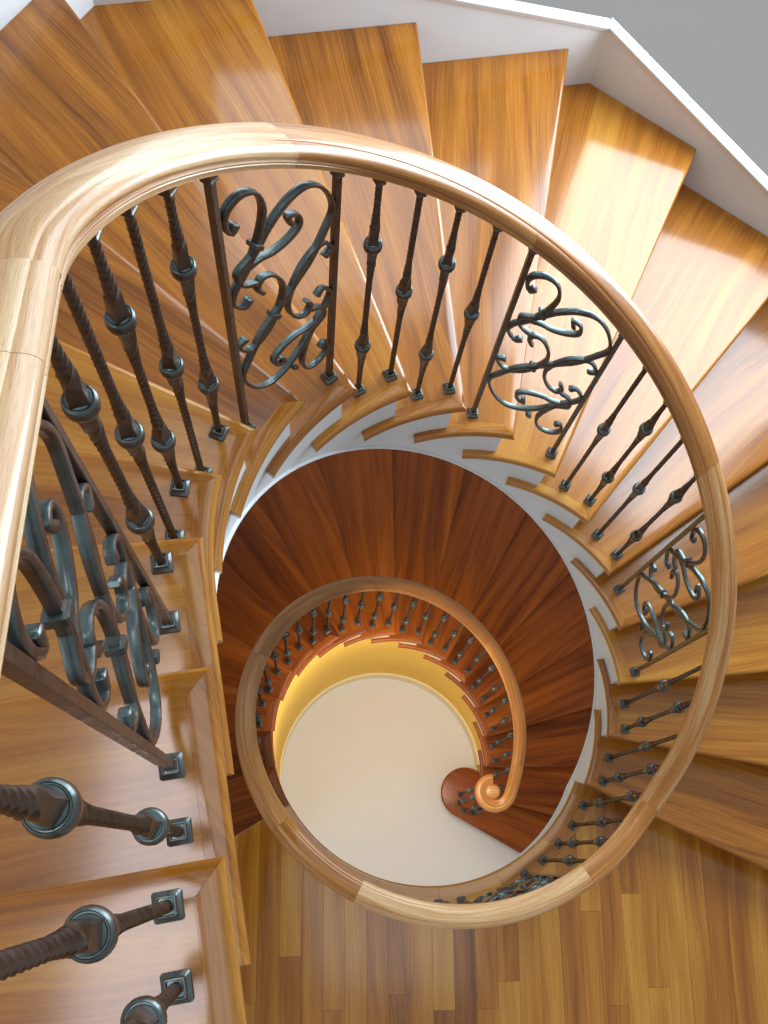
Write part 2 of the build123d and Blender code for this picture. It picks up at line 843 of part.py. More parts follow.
# Last panel and the balusters beside the straight run
last_t = upper_first + turn * (round_treads + second_share)
last_bar_along = math.radians(last_t - 360 - tower_tangent) * rail_radius
last_foot = landing_height + rise * (round_treads + 1)
panel_end_along = straight_lead + straight_going * straight_shares[1]
bars = [straight_baluster(last_bar_along, last_foot, "plain"),
        straight_baluster(panel_end_along, last_foot + rise, "plain")]
ends = [straight_station(last_bar_along)[0], straight_station(panel_end_along)[0]]
lines = [straight_top(along) - rail_top_above_nosing - panel_line_share * rise
         for along in (last_bar_along, panel_end_along)]
panels.append(scroll_panel(bars, ends, lines))
for number, solids in enumerate(panels, start=1):
    nodes[f"scroll_panel_{number}"] = solids

top_bars = [straight_baluster(straight_lead + straight_going * straight_shares[2], last_foot + rise, "double")]
along = top_line_along() + straight_going * straight_shares[0]
count = math.floor((straight_end - rail_end_margin - along) / (straight_going / 3))
for index in range(count + 1):
    place = along + straight_going / 3 * index
    top_bars.append(straight_baluster(place, top_height, kind_of(index)))
nodes["top_balusters"] = solids_of(*top_bars)

# The origin is on the floor, under the middle of the starting step
foot_out = (nosing_radius + tower_apothem) / 2
origin = direction(lower_start + turn / 2) * foot_out
to_origin = Pos(-origin.X, -origin.Y, 0)

os.makedirs("parts", exist_ok=True)
for name, solids in nodes.items():
    export_step(Compound([to_origin * solid for solid in solids]), f"parts/{name}.step")
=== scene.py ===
import json
import random
from math import acos, asin, atan2, ceil, cos, degrees, floor, pi, radians, sin, tan, tau

import bmesh
import bpy
from mathutils import Matrix, Vector


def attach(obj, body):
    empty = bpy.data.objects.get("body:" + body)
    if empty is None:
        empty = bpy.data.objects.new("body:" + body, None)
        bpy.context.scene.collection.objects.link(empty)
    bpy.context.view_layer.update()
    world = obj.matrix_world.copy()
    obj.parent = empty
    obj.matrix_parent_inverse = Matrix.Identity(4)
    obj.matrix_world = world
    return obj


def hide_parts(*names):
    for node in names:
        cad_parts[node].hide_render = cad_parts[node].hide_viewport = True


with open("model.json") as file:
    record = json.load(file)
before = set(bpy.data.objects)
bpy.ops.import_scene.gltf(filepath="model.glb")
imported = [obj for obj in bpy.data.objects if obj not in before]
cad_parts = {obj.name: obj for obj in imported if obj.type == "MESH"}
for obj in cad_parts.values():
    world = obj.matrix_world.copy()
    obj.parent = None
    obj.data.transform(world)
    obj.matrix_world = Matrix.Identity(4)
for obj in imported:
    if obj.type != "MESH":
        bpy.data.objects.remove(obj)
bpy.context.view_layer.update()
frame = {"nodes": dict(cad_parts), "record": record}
scene = bpy.context.scene

# Sizes of the stair, in metres and degrees, with angles about the axis of the well
RISE, RISERS, TURN = 0.190, 17, 15.0  # height of a step, steps in a flight, turn of a round step
LOWER_START, UPPER_START = -27.5, -23.0  # where the first nosing of each flight lies
LEAD, GOING, TOP_LENGTH = 0.183, 0.242, 0.900  # first straight nosing, depth of straight steps, top landing
CORNER, APOTHEM, SIDE = 79.0, 1.925, 45.0  # outer edge: a corner, distance of its sides, turn between them
BOARD_ABOVE = 0.130  # top of the wall boards above the line of nosings
NOSE_R, STRING_R = 0.641, 0.665  # inner ends of the treads, face of the string
RETURN_W, TAIL = 0.038, 0.100  # width of the returned nosings, and their length past the next tread's front
THICK, OVER, RISER_BACK = 0.030, 0.028, 0.048  # a tread's thickness, and a riser's front and back
DRUM_R, UPPER_SEAT = 0.6773, 0.7103  # just behind the lower and the upper string
FASCIA, EDGE_W = 0.255, 0.090  # depth of the landing's fascia, width of its edge board
LOBE_R, LOBE_OUT = 0.165, 0.555  # round end of the starting step
RAIL_R, RAIL_H = 0.706, 0.065
ABOVE_NOSE, ABOVE_LAND = 0.870, 0.960  # height of the rail over the nosings and over the landings
RETURN_R = NOSE_R + RETURN_W
EDGE_R = NOSE_R + EDGE_W
TANGENT = CORNER + 2.5 * SIDE
UPPER_FIRST = 360 + UPPER_START
LAND = RISE * RISERS
TOP = 2 * LAND
ROUND = floor((TANGENT - UPPER_START) / TURN)
TOP_ALONG = LEAD + GOING * (RISERS - 2 - ROUND)
END_ALONG = TOP_ALONG + TOP_LENGTH
FOOT = (NOSE_R + APOTHEM) / 2
OX = -FOOT * cos(radians(LOWER_START + TURN / 2))
OY = -FOOT * sin(radians(LOWER_START + TURN / 2))
CLIMB = RISE / TURN
STEEP = RISE / GOING
HALF_WALL = APOTHEM * tan(radians(SIDE / 2))

# Rounding of the boards' edges: how far it reaches inward, and then how far down
NOSE, RETURN_NOSE, TAIL_END, WALL_SIDE, HAIR, TIGHT = 0.011, 0.010, 0.003, 0.001, 0.0004, 0.00012
TREAD_SOFT, FLOOR_SOFT, SQUARE = 0.013, 0.012, 0.0006
CLEAR = 0.0004  # gap between the returned nosings and the string
NEARLY_STRAIGHT = 0.12  # sine of a corner too flat to be mitred
ARC_STEP, SHARP_ANGLE = 0.018, 35  # spacing of points on curves, angle from which an edge looks sharp

dice = random.Random(7)
looks = {}


def unit(angle):
    return Vector((cos(radians(angle)), sin(radians(angle))))


def evenly(first, last, count):
    return [first + (last - first) * i / count for i in range(count + 1)]


def arc(first, last, count, radius):
    return [unit(t) * radius for t in evenly(first, last, count)]


def circle(radius, height, sides):
    return [(radius * cos(tau * j / sides), radius * sin(tau * j / sides), height)
            for j in range(sides)]


def lengths(points):
    """Distance along a line of points, at each of them."""
    runs = [0.0]
    for a, b in zip(points, points[1:]):
        runs.append(runs[-1] + (Vector(b) - Vector(a)).length)
    return runs


def mm(*pairs):
    """Pairs given in millimetres."""
    return [(a / 1000, b / 1000) for a, b in pairs]


def grain_shift():
    return dice.uniform(-40, 40), dice.uniform(-40, 40)


# Meshes

class Shape:
    """Faces gathered into one piece, with grain coordinates at their corners and a tone for each."""

    def __init__(self):
        self.points, self.faces, self.grain, self.tones = [], [], [], []

    def rings(self, rings, coord=None, tone=0.5):
        """Closed skin over rings of equally many points; coord(i, j) is the grain at ring i, point j."""
        coord = coord or (lambda i, j: (i * 0.01, j * 0.01))
        start, count, last = len(self.points), len(rings[0]), len(rings) - 1
        faces = [[(i, j), (i, j + 1), (i + 1, j + 1), (i + 1, j)] for i in range(last) for j in range(count)]
        faces += [[(0, j) for j in reversed(range(count))], [(last, j) for j in range(count)]]
        self.points += [p for ring in rings for p in ring]
        for face in faces:
            self.faces.append([start + i * count + j % count for i, j in face])
            self.grain.append([coord(i, j) for i, j in face])
            self.tones.append(tone)

    def finish(self, name, slot, *nodes, look=None):
        """Makes the object, in place of the named nodes; its look is its slot's unless another is given."""
        mesh = bpy.data.meshes.new(name)
        mesh.from_pydata([(x + OX, y + OY, z) for x, y, z in self.points], [], self.faces)
        layer = mesh.uv_layers.new(name="grain")
        layer.data.foreach_set("uv", [c for face in self.grain for corner in face for c in corner])
        tone = mesh.attributes.new("tone", "FLOAT", "FACE")
        tone.data.foreach_set("value", self.tones)
        work = bmesh.new()
        work.from_mesh(mesh)
        bmesh.ops.recalc_face_normals(work, faces=work.faces)
        work.to_mesh(mesh)
        work.free()
        mesh.polygons.foreach_set("use_smooth", [True] * len(mesh.polygons))
        mesh.set_sharp_from_angle(angle=radians(SHARP_ANGLE))
        mesh.materials.append(looks[look or slot])
        obj = bpy.data.objects.new(name, mesh)
        scene.collection.objects.link(obj)
        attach(obj, "root")
        if nodes:
            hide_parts(*nodes)


def inset_outline(points, widths):
    """Outline moved inward; widths[i] is for the edge that leaves point i, counter-clockwise."""
    moved = []
    for i, p in enumerate(points):
        before = (p - points[i - 1]).normalized()
        after = (points[(i + 1) % len(points)] - p).normalized()
        n0 = Vector((-before.y, before.x))
        n1 = Vector((-after.y, after.x))
        w0, w1 = widths[i - 1], widths[i]
        cross = n0.x * n1.y - n0.y * n1.x
        if abs(cross) < NEARLY_STRAIGHT:
            moved.append(p + (n0 * w0 + n1 * w1) / 2)
        else:
            moved.append(p + Vector(((w0 * n1.y - w1 * n0.y) / cross, (n0.x * w1 - n1.x * w0) / cross)))
    return moved


def board(shape, edges, low, high, coord, tone, soft=TREAD_SOFT, steps=4, wrap=False):
    """Board with rounded edges; coord gives the grain's place on top, and wrap runs it round the sides."""
    outline, widths = edges
    quarter = evenly(0, pi / 2, steps)
    levels = [(1 - sin(a), low + soft * (1 - cos(a))) for a in quarter]
    levels += [(1 - sin(a), high - soft * (1 - cos(a))) for a in reversed(quarter)]
    flats = [inset_outline(outline, [w * share for w in widths]) for share, _ in levels]
    shift = grain_shift()
    runs = lengths(outline + outline[:1])

    def grain(i, j):
        if wrap and 0 < i < len(levels) - 1:
            return runs[j] + shift[0], levels[i][1] + shift[1]
        u, v = coord(flats[i][j % len(outline)])
        return u + shift[0], v - (high - levels[i][1]) + shift[1]

    shape.rings([[(p.x, p.y, z) for p in flat] for flat, (_, z) in zip(flats, levels)], grain, tone)


def along_grain(angle):
    """Grain that runs straight at an angle."""
    return lambda p: (p.dot(unit(angle)), p.dot(unit(angle + 90)))


def round_grain(p):
    """Grain that follows the curve of the well."""
    return atan2(-p.y, -p.x) * NOSE_R, p.length


# Plan of the flights

LOWER = {"start": LOWER_START, "base": 0.0, "straight": False,
         "walls": [CORNER + SIDE * (i + 0.5) for i in range(8)]}
UPPER = {"start": UPPER_START, "base": LAND, "straight": True,
         "walls": [CORNER + SIDE * (i + 0.5) for i in range(-3, 3)]}


def nosing(flight, step):
    """A nosing line: the point it starts from and the angle it runs at."""
    if not flight["straight"] or step <= ROUND:
        return Vector((0, 0)), flight["start"] + TURN * step
    return unit(TANGENT + 90) * (LEAD + GOING * (step - ROUND - 1)), TANGENT


def on_line(line, out, ahead=0.0):
    return line[0] + unit(line[1]) * out + unit(line[1] + 90) * ahead


def beside_run(out, along):
    return unit(TANGENT) * out + unit(TANGENT + 90) * along


def lead_angle(ahead, radius):
    """Angle from a line through the axis to the point that lies ahead of it on a radius."""
    return degrees(asin(ahead / radius))


def place(line, radius, ahead):
    """How far past the start of the straight run a line crosses the path of a radius round the well."""
    if line[0].length < 1e-6:
        return radians(line[1] + lead_angle(ahead, radius) - TANGENT) * radius
    return line[0].length + ahead


def path_point(flight, radius, s):
    if s <= 0 or not flight["straight"]:
        return unit(TANGENT + degrees(s / radius)) * radius
    return beside_run(radius, s)


def path(flight, radius, first, last):
    """Points round the well between two places on one radius."""
    crosses = flight["straight"] and min(first, last) < -1e-4 and max(first, last) > 1e-4
    stops = [first, 0.0, last] if crosses else [first, last]
    points = []
    for a, b in zip(stops, stops[1:]):
        bent = not flight["straight"] or min(a, b) < -1e-4
        count = max(1, ceil(abs(b - a) / ARC_STEP)) if bent else 1
        points += [path_point(flight, radius, s) for s in evenly(a, b, count)[:-1]]
    return points + [path_point(flight, radius, last)]


def wall_hit(flight, line, ahead):
    """Where a line meets the outer edge, and the number of the side."""
    start = on_line(line, 0, ahead)
    run = unit(line[1])
    hits = []
    for number, angle in enumerate(flight["walls"]):
        facing = unit(angle).dot(run)
        if facing > 1e-6:
            hits.append(((APOTHEM - unit(angle).dot(start)) / facing, number))
    reach, number = min(hits)
    return start + run * reach, number


def outer_edge(flight, line_a, ahead_a, line_b, ahead_b):
    """Points along the outer edge from one line to the next."""
    walls = flight["walls"]
    first, wall_a = wall_hit(flight, line_a, ahead_a)
    last, wall_b = wall_hit(flight, line_b, ahead_b)
    points = [first]
    while wall_a != wall_b:
        points.append(unit(walls[wall_a] + SIDE / 2) * (APOTHEM / cos(radians(SIDE / 2))))
        wall_a = (wall_a + 1) % len(walls)
    return points + [last]


def seat(flight, line, back):
    """Back and front of a riser where it meets the string or the wall below."""
    return [path_point(flight, back, place(line, back, ahead)) for ahead in (RISER_BACK, OVER)]


def edged(*runs):
    """Joins runs of points, each with the rounding of the edges that leave them."""
    outline = []
    widths = []
    for points, width in runs:
        for p in points:
            if outline and (p - outline[-1]).length < 1e-6:
                widths[-1] = width
                continue
            outline.append(p)
            widths.append(width)
    if (outline[0] - outline[-1]).length < 1e-6:
        outline.pop()
        widths.pop()
    return outline, widths


# Materials

class Tree:
    """Nodes of a material or a world, with short ways to add and join them."""

    def __init__(self, owner):
        owner.use_nodes = True
        self.nodes, self.links = owner.node_tree.nodes, owner.node_tree.links

    def put(self, sockets, values):
        """Links each named socket to an output, or sets it to a number or a colour."""
        for name, value in values.items():
            if isinstance(value, bpy.types.NodeSocket):
                self.links.new(value, sockets[name])
            else:
                sockets[name].default_value = (*value, 1) if isinstance(value, tuple) else value

    def node(self, kind, values=None, **settings):
        """Adds a node, with values for its sockets and its own settings."""
        node = self.nodes.new("ShaderNode" + kind)
        for name, value in settings.items():
            setattr(node, name, value)
        self.put(node.inputs, values or {})
        return node

    def spot(self):
        """Place on the object, for patterns that don't follow the grain."""
        return self.node("TexCoord").outputs["Object"]

    def calc(self, operation, a, b=0.5):
        return self.node("Math", {0: a, 1: b}, operation=operation).outputs[0]

    def weighted(self, *terms, start=0.0):
        """Sum of values, each times its share."""
        for value, share in terms:
            start = self.node("Math", {0: value, 1: share, 2: start}, operation="MULTIPLY_ADD").outputs[0]
        return start

    def noise(self, vector, scale, detail=4.0, rough=0.5):
        values = {"Vector": vector, "Scale": scale, "Detail": detail, "Roughness": rough}
        return self.node("TexNoise", values).outputs["Fac"]

    def spread(self, value, low, high):
        """Value stretched from low..high to 0..1."""
        return self.node("MapRange", {"Value": value, "From Min": low, "From Max": high}).outputs[0]

    def mixed(self, share, a, b, kind="MIX"):
        return self.node("Mix", {0: share, 6: a, 7: b}, data_type="RGBA", blend_type=kind).outputs[2]

    def ramp(self, value, stops):
        node = self.node("ValToRGB", {0: value})
        elements = node.color_ramp.elements
        while len(elements) < len(stops):
            elements.new(0.5)
        for element, (at, color) in zip(elements, stops):
            element.position = at
            element.color = (*color, 1)
        return node.outputs[0]

    def shade(self, values):
        self.put(self.nodes["Principled BSDF"].inputs, values)

    def bump(self, height, distance, strength):
        values = {"Strength": strength, "Distance": distance, "Height": height}
        self.shade({"Normal": self.node("Bump", values).outputs[0]})


def surface(name):
    """Nodes of a new material, which looks holds under its name."""
    looks[name] = bpy.data.materials.new(name)
    return Tree(looks[name])


def wood(name, dark, middle, light, roughness, coat, specular, tone_span=0.8, staves=0.0):
    """Varnished wood with bands, streaks and pores along its grain, and staves of different tone."""
    tree = surface(name)
    u, v, _ = tree.node("SeparateXYZ", {0: tree.node("UVMap", uv_map="grain").outputs[0]}).outputs

    def drawn_out(across, along, over, detail, rough=0.5):
        """Noise with its own scales along the grain and over it."""
        scaled = {0: tree.calc("MULTIPLY", u, along), 1: tree.calc("MULTIPLY", across, over)}
        return tree.noise(tree.node("CombineXYZ", scaled).outputs[0], 1.0, detail, rough)

    drift = tree.calc("SUBTRACT", drawn_out(v, 1.1, 4.0, 3.0), 0.5)
    bent = tree.weighted((drift, 0.10), start=v)
    band = tree.spread(drawn_out(bent, 1.5, 21.0, 2.0), 0.3, 0.7)
    fine = tree.spread(drawn_out(bent, 2.6, 170.0, 4.0, 0.68), 0.3, 0.7)
    ring = tree.spread(tree.calc("SINE", tree.calc("MULTIPLY", bent, 520.0)), -1.0, 1.0)
    pore = tree.spread(drawn_out(v, 38.0, 950.0, 2.0), 0.36, 0.5)
    tone = tree.node("Attribute", attribute_name="tone").outputs["Fac"]
    terms = [(band, 0.38), (fine, 0.34), (ring, 0.05), (tree.calc("SUBTRACT", tone, 0.5), tone_span)]
    if staves:
        number = tree.calc("FLOOR", tree.calc("DIVIDE", v, staves))
        stave = tree.node("TexWhiteNoise", {"W": number}, noise_dimensions="1D").outputs[0]
        terms.append((tree.calc("SUBTRACT", stave, 0.5), 0.22))
    color = tree.ramp(tree.weighted(*terms, start=0.10), [(0.05, dark), (0.5, middle), (0.95, light)])
    flecks = tree.mixed(pore, (0.66, 0.58, 0.52), (1.0, 1.0, 1.0))
    tree.shade({"Base Color": tree.mixed(0.45, color, flecks, "MULTIPLY"),
                "Roughness": tree.weighted((fine, 0.08), start=roughness),
                "Specular IOR Level": specular, "Coat Weight": coat, "Coat Roughness": 0.13})
    tree.bump(tree.weighted((fine, 0.5), start=pore), 0.00022, 0.35)


def paint(name, color):
    """Brushed paint with faint streaks, clouds and scuffs."""
    tree = surface(name)
    at = tree.spot()
    brush = tree.node("Mapping", {0: at})
    brush.inputs["Scale"].default_value = (9.0, 9.0, 160.0)
    cloud = tree.spread(tree.noise(at, 3.0), 0.35, 0.65)
    scuff = tree.spread(tree.noise(at, 22.0, 6.0, 0.7), 0.62, 0.72)
    base = tree.mixed(cloud, tuple(c * 0.93 for c in color), color)
    worn = tree.mixed(tree.calc("MULTIPLY", scuff, 0.35), base, (0.78, 0.76, 0.72))
    tree.shade({"Base Color": worn, "Roughness": tree.weighted((cloud, 0.12), start=0.38)})
    tree.bump(tree.noise(brush.outputs[0], 1.0, 3.0), 0.0004, 0.3)


def plaster(name, color, patch):
    """Painted plaster with a fine stipple and soft patches."""
    tree = surface(name)
    at = tree.spot()
    cloud = tree.spread(tree.noise(at, 1.7, 5.0, 0.6), 0.3, 0.7)
    tree.shade({"Base Color": tree.mixed(cloud, patch, color), "Roughness": 0.82})
    stipple, trowel = tree.noise(at, 160.0, 3.0), tree.noise(at, 9.0)
    tree.bump(tree.weighted((trowel, 3.0), start=stipple), 0.0008, 0.4)


def iron(name):
    """Dark bronzed iron with brown blotches, and a painted blue-green sky reflection on its upward-facing
    faces.
    """
    tree = surface(name)
    at = tree.spot()
    blotch = tree.spread(tree.noise(at, 30.0, 5.0, 0.65), 0.35, 0.65)
    fine, hammer = tree.noise(at, 260.0, 3.0), tree.noise(at, 75.0, 2.0)
    normal = tree.node("SeparateXYZ", {0: tree.node("NewGeometry").outputs["Normal"]})
    # Painted reflection: the more a face turns upward, the more blue-green sky reflection is mixed into its
    # colour
    up = tree.spread(normal.outputs[2], 0.15, 0.80)
    share = tree.calc("MULTIPLY", up, tree.weighted((blotch, 0.35), start=0.55))
    brown = tree.mixed(blotch, (0.050, 0.033, 0.026), (0.092, 0.062, 0.048))
    # The blue-green colour is the painted sky reflection, not a colour of the iron
    tree.shade({"Base Color": tree.mixed(share, brown, (0.130, 0.205, 0.210)), "Metallic": 0.50,
                "Roughness": tree.weighted((blotch, 0.12), start=0.24)})
    tree.bump(tree.weighted((fine, 0.2), start=hammer), 0.0005, 0.4)


STAVE = 0.105
wood("tread_wood", (0.135, 0.036, 0.002), (0.365, 0.128, 0.008), (0.530, 0.255, 0.030), 0.28, 1.0, 0.15,
     staves=STAVE)
# Painted shade: the lower flight's wood is a darker, less coated copy of the tread wood, for the shade down
# in the well
wood("shaded_lower_wood", (0.120, 0.024, 0.002), (0.320, 0.078, 0.006), (0.460, 0.155, 0.018), 0.34, 0.12, 0.2,
     staves=STAVE)
# Painted shade: the risers take the treads' stain made darker, for the shade under the nosings
wood("riser_wood", (0.090, 0.024, 0.004), (0.230, 0.074, 0.010), (0.360, 0.145, 0.025), 0.36, 0.2, 0.2)
wood("rail_wood", (0.190, 0.062, 0.010), (0.470, 0.195, 0.040), (0.760, 0.540, 0.290), 0.33, 0.3, 0.3, 1.1)
paint("white_paint", (0.76, 0.80, 0.82))
paint("cream_paint", (0.84, 0.74, 0.46))
plaster("yellow_plaster", (0.88, 0.58, 0.10), (0.82, 0.51, 0.075))
plaster("ceiling_plaster", (0.74, 0.72, 0.66), (0.68, 0.65, 0.59))
iron("wrought_iron")

for item in frame["record"]["subparts"]:
    if item["material_slot"] in ("white_paint", "cream_paint", "yellow_plaster", "ceiling_plaster"):
        materials = frame["nodes"][item["node"]].data.materials
        materials.clear()
        materials.append(looks[item["material_slot"]])


# Treads, risers and returned nosings

# Painted shade: the lower flight's tones are darker than the upper flight's
UPPER_TONES, SHADED_LOWER_TONES = (0.40, 0.68), (0.22, 0.42)
DIM_TONES, DIM_STEPS = (0.20, 0.34), (8, 10, 11)
STARTING_TONE = 0.40


def tread(shape, flight, step, back, tones):
    here, above = nosing(flight, step), nosing(flight, step + 1)
    high = flight["base"] + RISE * (step + 1)
    inner = path(flight, RETURN_R, place(above, RETURN_R, OVER), place(here, RETURN_R, RETURN_W))
    outer = outer_edge(flight, here, 0, above, RISER_BACK)
    edges = edged(([on_line(here, NOSE_R)], NOSE), (outer, WALL_SIDE),
                  (seat(flight, above, back) + inner, TIGHT))
    middle = here[1] + (TURN / 2 if here[1] < TANGENT and above[1] != here[1] else 0)
    board(shape, edges, high - THICK, high, along_grain(middle), dice.uniform(*tones))


def returned(shape, flight, step, tones):
    here, above = nosing(flight, step), nosing(flight, step + 1)
    high = flight["base"] + RISE * (step + 1)
    near = STRING_R - CLEAR
    last = place(above, near, OVER + TAIL)
    edges = edged(
        ([on_line(here, NOSE_R)], TIGHT),
        (path(flight, RETURN_R, place(here, RETURN_R, RETURN_W), place(above, RETURN_R, OVER)), TIGHT),
        (path(flight, near, place(above, near, OVER), last), TIGHT),
        ([path_point(flight, near, last)], TAIL_END),
        (path(flight, NOSE_R, place(above, NOSE_R, OVER + TAIL), place(here, NOSE_R, 0)), RETURN_NOSE),
    )
    board(shape, edges, high - THICK, high, round_grain, dice.uniform(*tones))


def riser(shape, flight, step, back, tones):
    line = nosing(flight, step)
    low = flight["base"] + RISE * step
    inner = seat(flight, line, back)
    edges = edged((inner[1:] + outer_edge(flight, line, OVER, line, RISER_BACK) + inner[:1], TIGHT))
    board(shape, edges, low, low + RISE - THICK, along_grain(line[1]), dice.uniform(*tones), SQUARE, 1)


def climb(name, flight, first, back, tones, look, dim_steps=()):
    """The steps of a flight from its first tread on; the treads of dim_steps are darker."""
    treads, returns, risers = Shape(), Shape(), Shape()
    for step in range(first, RISERS - 1):
        tread(treads, flight, step, back, DIM_TONES if step in dim_steps else tones)
        returned(returns, flight, step, tones)
    for step in range(first, RISERS):
        riser(risers, flight, step, back, tones)
    treads.finish(f"{name}_tread_boards", "tread_wood", f"{name}_treads", look=look)
    returns.finish(f"{name}_returned_ends", "tread_wood", f"{name}_return_nosings", look=look)
    risers.finish(f"{name}_riser_boards", "riser_wood", f"{name}_risers")


climb("lower", LOWER, 1, DRUM_R, SHADED_LOWER_TONES, "shaded_lower_wood")
climb("upper", UPPER, 0, UPPER_SEAT, UPPER_TONES, "tread_wood", DIM_STEPS)


# Starting step with its round end

def starting_edges(inset, edge):
    here, above = nosing(LOWER, 0), nosing(LOWER, 1)
    centre = on_line(here, LOBE_OUT, LOBE_R)
    radius = LOBE_R - inset
    near = STRING_R - CLEAR
    reach = centre.length
    bend = acos((reach ** 2 + near ** 2 - radius ** 2) / (2 * reach * near))
    meet = degrees(atan2(centre.y, centre.x) + bend)
    hugging = arc(above[1] + lead_angle(OVER, near), meet, 8, near)
    first = hugging[-1] - centre
    turn_from = degrees(atan2(first.y, first.x))
    lobe = [centre + p for p in arc(turn_from, here[1] + 270, 40, radius)[1:]]
    outer = outer_edge(LOWER, here, inset, above, RISER_BACK)
    return edged((outer + seat(LOWER, above, DRUM_R) + hugging, TIGHT), (lobe, edge))


shape = Shape()
board(shape, starting_edges(0, NOSE), RISE - THICK, RISE, along_grain(LOWER_START + TURN / 2), STARTING_TONE)
shape.finish("starting_tread_board", "tread_wood", "starting_tread", look="shaded_lower_wood")
shape = Shape()
board(shape, starting_edges(OVER, TIGHT), 0.0, RISE - THICK, along_grain(LOWER_START), STARTING_TONE,
      SQUARE, 1, True)
shape.finish("starting_block", "riser_wood", "starting_step")


# Floors of narrow boards

BOARD_W = 0.083
FIRST_CUT, BOARD_LENGTH, SHORTEST = (0.3, 1.2), (0.7, 1.5), 0.15
FLOOR_TONES, EDGE_TONES = (0.30, 0.82), (0.45, 0.9)
SLIVER = 2e-5  # area of the smallest board
LANDING_GRAIN = 272.0


def cut_plane(work, geom, normal, at):
    bmesh.ops.bisect_plane(work, geom=geom, plane_co=(normal * at).to_3d(), plane_no=normal.to_3d())


def floor_boards(shape, region, angle, high, nose_test):
    """Fills a region with boards that run at an angle; nose_test says which edges are rounded."""
    work = bmesh.new()
    work.faces.new([work.verts.new((p.x, p.y, 0)) for p in region])
    run, side = unit(angle), unit(angle + 90)
    spans = [p.dot(side) for p in region]
    cut = floor(min(spans) / BOARD_W) * BOARD_W + BOARD_W
    while cut < max(spans):
        cut_plane(work, work.verts[:] + work.edges[:] + work.faces[:], side, cut)
        cut += BOARD_W

    def lane(face):
        return face.calc_center_median().xy.dot(side)

    for face in list(work.faces):
        ends = [v.co.xy.dot(run) for v in face.verts]
        at = min(ends) + dice.uniform(*FIRST_CUT)
        pieces = [face]
        while at < max(ends) - SHORTEST:
            geom = [g for piece in pieces for g in [piece, *piece.edges, *piece.verts]]
            cut_plane(work, list(dict.fromkeys(geom)), run, at)
            pieces = [f for f in work.faces if f.is_valid and abs(lane(f) - lane(face)) < BOARD_W / 2
                      and f in face.verts[0].link_faces]
            at += dice.uniform(*BOARD_LENGTH)
    bmesh.ops.split_edges(work, edges=work.edges[:])
    for face in work.faces:
        if face.calc_area() < SLIVER:
            continue
        points = [v.co.xy.copy() for v in face.verts]
        if face.normal.z < 0:
            points.reverse()
        points = [p for i, p in enumerate(points) if (p - points[i - 1]).length > 1e-5]
        if len(points) < 3:
            continue
        widths = [RETURN_NOSE if nose_test(p, points[(i + 1) % len(points)]) else HAIR
                  for i, p in enumerate(points)]
        tone = dice.uniform(*FLOOR_TONES)
        board(shape, (points, widths), high - THICK, high, along_grain(angle), tone, FLOOR_SOFT)
    work.free()


land_from, land_to = nosing(LOWER, RISERS - 1), (Vector((0, 0)), UPPER_FIRST)


def on_landing_nose(a, b):
    side = unit(land_from[1] + 90)
    return max(abs(a.dot(side)), abs(b.dot(side))) < 1e-4


shape = Shape()
region = outer_edge(LOWER, land_from, 0, land_to, RISER_BACK)
region += arc(land_to[1] + lead_angle(RISER_BACK, EDGE_R), land_from[1], 48, EDGE_R)
floor_boards(shape, region, LANDING_GRAIN, LAND, on_landing_nose)
shape.finish("landing_boards", "tread_wood", "landing_floor")

shape = Shape()
cuts = evenly(land_from[1], land_to[1], 6)
for a, b in zip(cuts, cuts[1:]):
    past = OVER if b == cuts[-1] else 0
    inside = arc(b + lead_angle(past, NOSE_R), a, 16, NOSE_R)
    outside = arc(a, b + lead_angle(past, EDGE_R), 16, EDGE_R)
    start = RETURN_NOSE if a == cuts[0] else HAIR
    edges = edged((inside[-1:], start), (outside, HAIR), (inside[:-1], RETURN_NOSE))
    board(shape, edges, LAND - THICK, LAND, round_grain, dice.uniform(*EDGE_TONES), FLOOR_SOFT)
shape.finish("landing_edge_boards", "tread_wood", "landing_edge")

shape = Shape()
board_end = TOP_ALONG + GOING + RISER_BACK
front, mitre = beside_run(NOSE_R, TOP_ALONG), beside_run(RETURN_R, TOP_ALONG + RETURN_W)
edges = edged(([front], NOSE), ([beside_run(APOTHEM, TOP_ALONG), beside_run(APOTHEM, board_end),
                                 beside_run(RETURN_R, board_end), mitre], TIGHT))
board(shape, edges, TOP - THICK, TOP, along_grain(TANGENT), 0.55)
edges = edged(([front, mitre, beside_run(RETURN_R, END_ALONG)], TIGHT),
              ([beside_run(NOSE_R, END_ALONG)], RETURN_NOSE))
board(shape, edges, TOP - THICK, TOP, along_grain(TANGENT + 90), 0.6)
region = [beside_run(RETURN_R, board_end), beside_run(APOTHEM, board_end), beside_run(APOTHEM, END_ALONG),
          beside_run(RETURN_R, END_ALONG)]
floor_boards(shape, region, TANGENT, TOP, lambda a, b: False)
shape.finish("top_floor_boards", "tread_wood", "top_floor")


# Beads and caps on the painted strings

BEAD_R, BEAD_UP, BEAD_SUNK = 0.006, 0.020, 0.001
CAP_GAP = 0.001  # between a cap and the next one
BEAD = [p[:2] for p in circle(BEAD_R, 0, 10)]
CAP = mm(
    (1, -30), (-4, -30), (-6, -26), (-6, -16), (-10, -12), (-11, -5), (-8, -1), (1, -1),
)


def sweep(shape, stations, section, tone=0.5, scales=None):
    """Skin over one upright section at (point, height, outward angle) stations."""
    rings = []
    for (point, height, angle), scale in zip(stations, scales or [1.0] * len(stations)):
        out = unit(angle)
        rings.append([(point.x + out.x * a * scale, point.y + out.y * a * scale, height + z)
                      for a, z in section])
    runs = lengths([(*point, height) for point, height, _ in stations])
    girth = lengths(section + section[:1])
    shift = grain_shift()
    shape.rings(rings, lambda i, j: (runs[i] + shift[0], girth[j] + shift[1]), tone)


def string_foot(t):
    """Height of the upper string's underside at an angle."""
    return LAND - FASCIA + CLIMB * (t - UPPER_START - lead_angle(OVER, STRING_R))


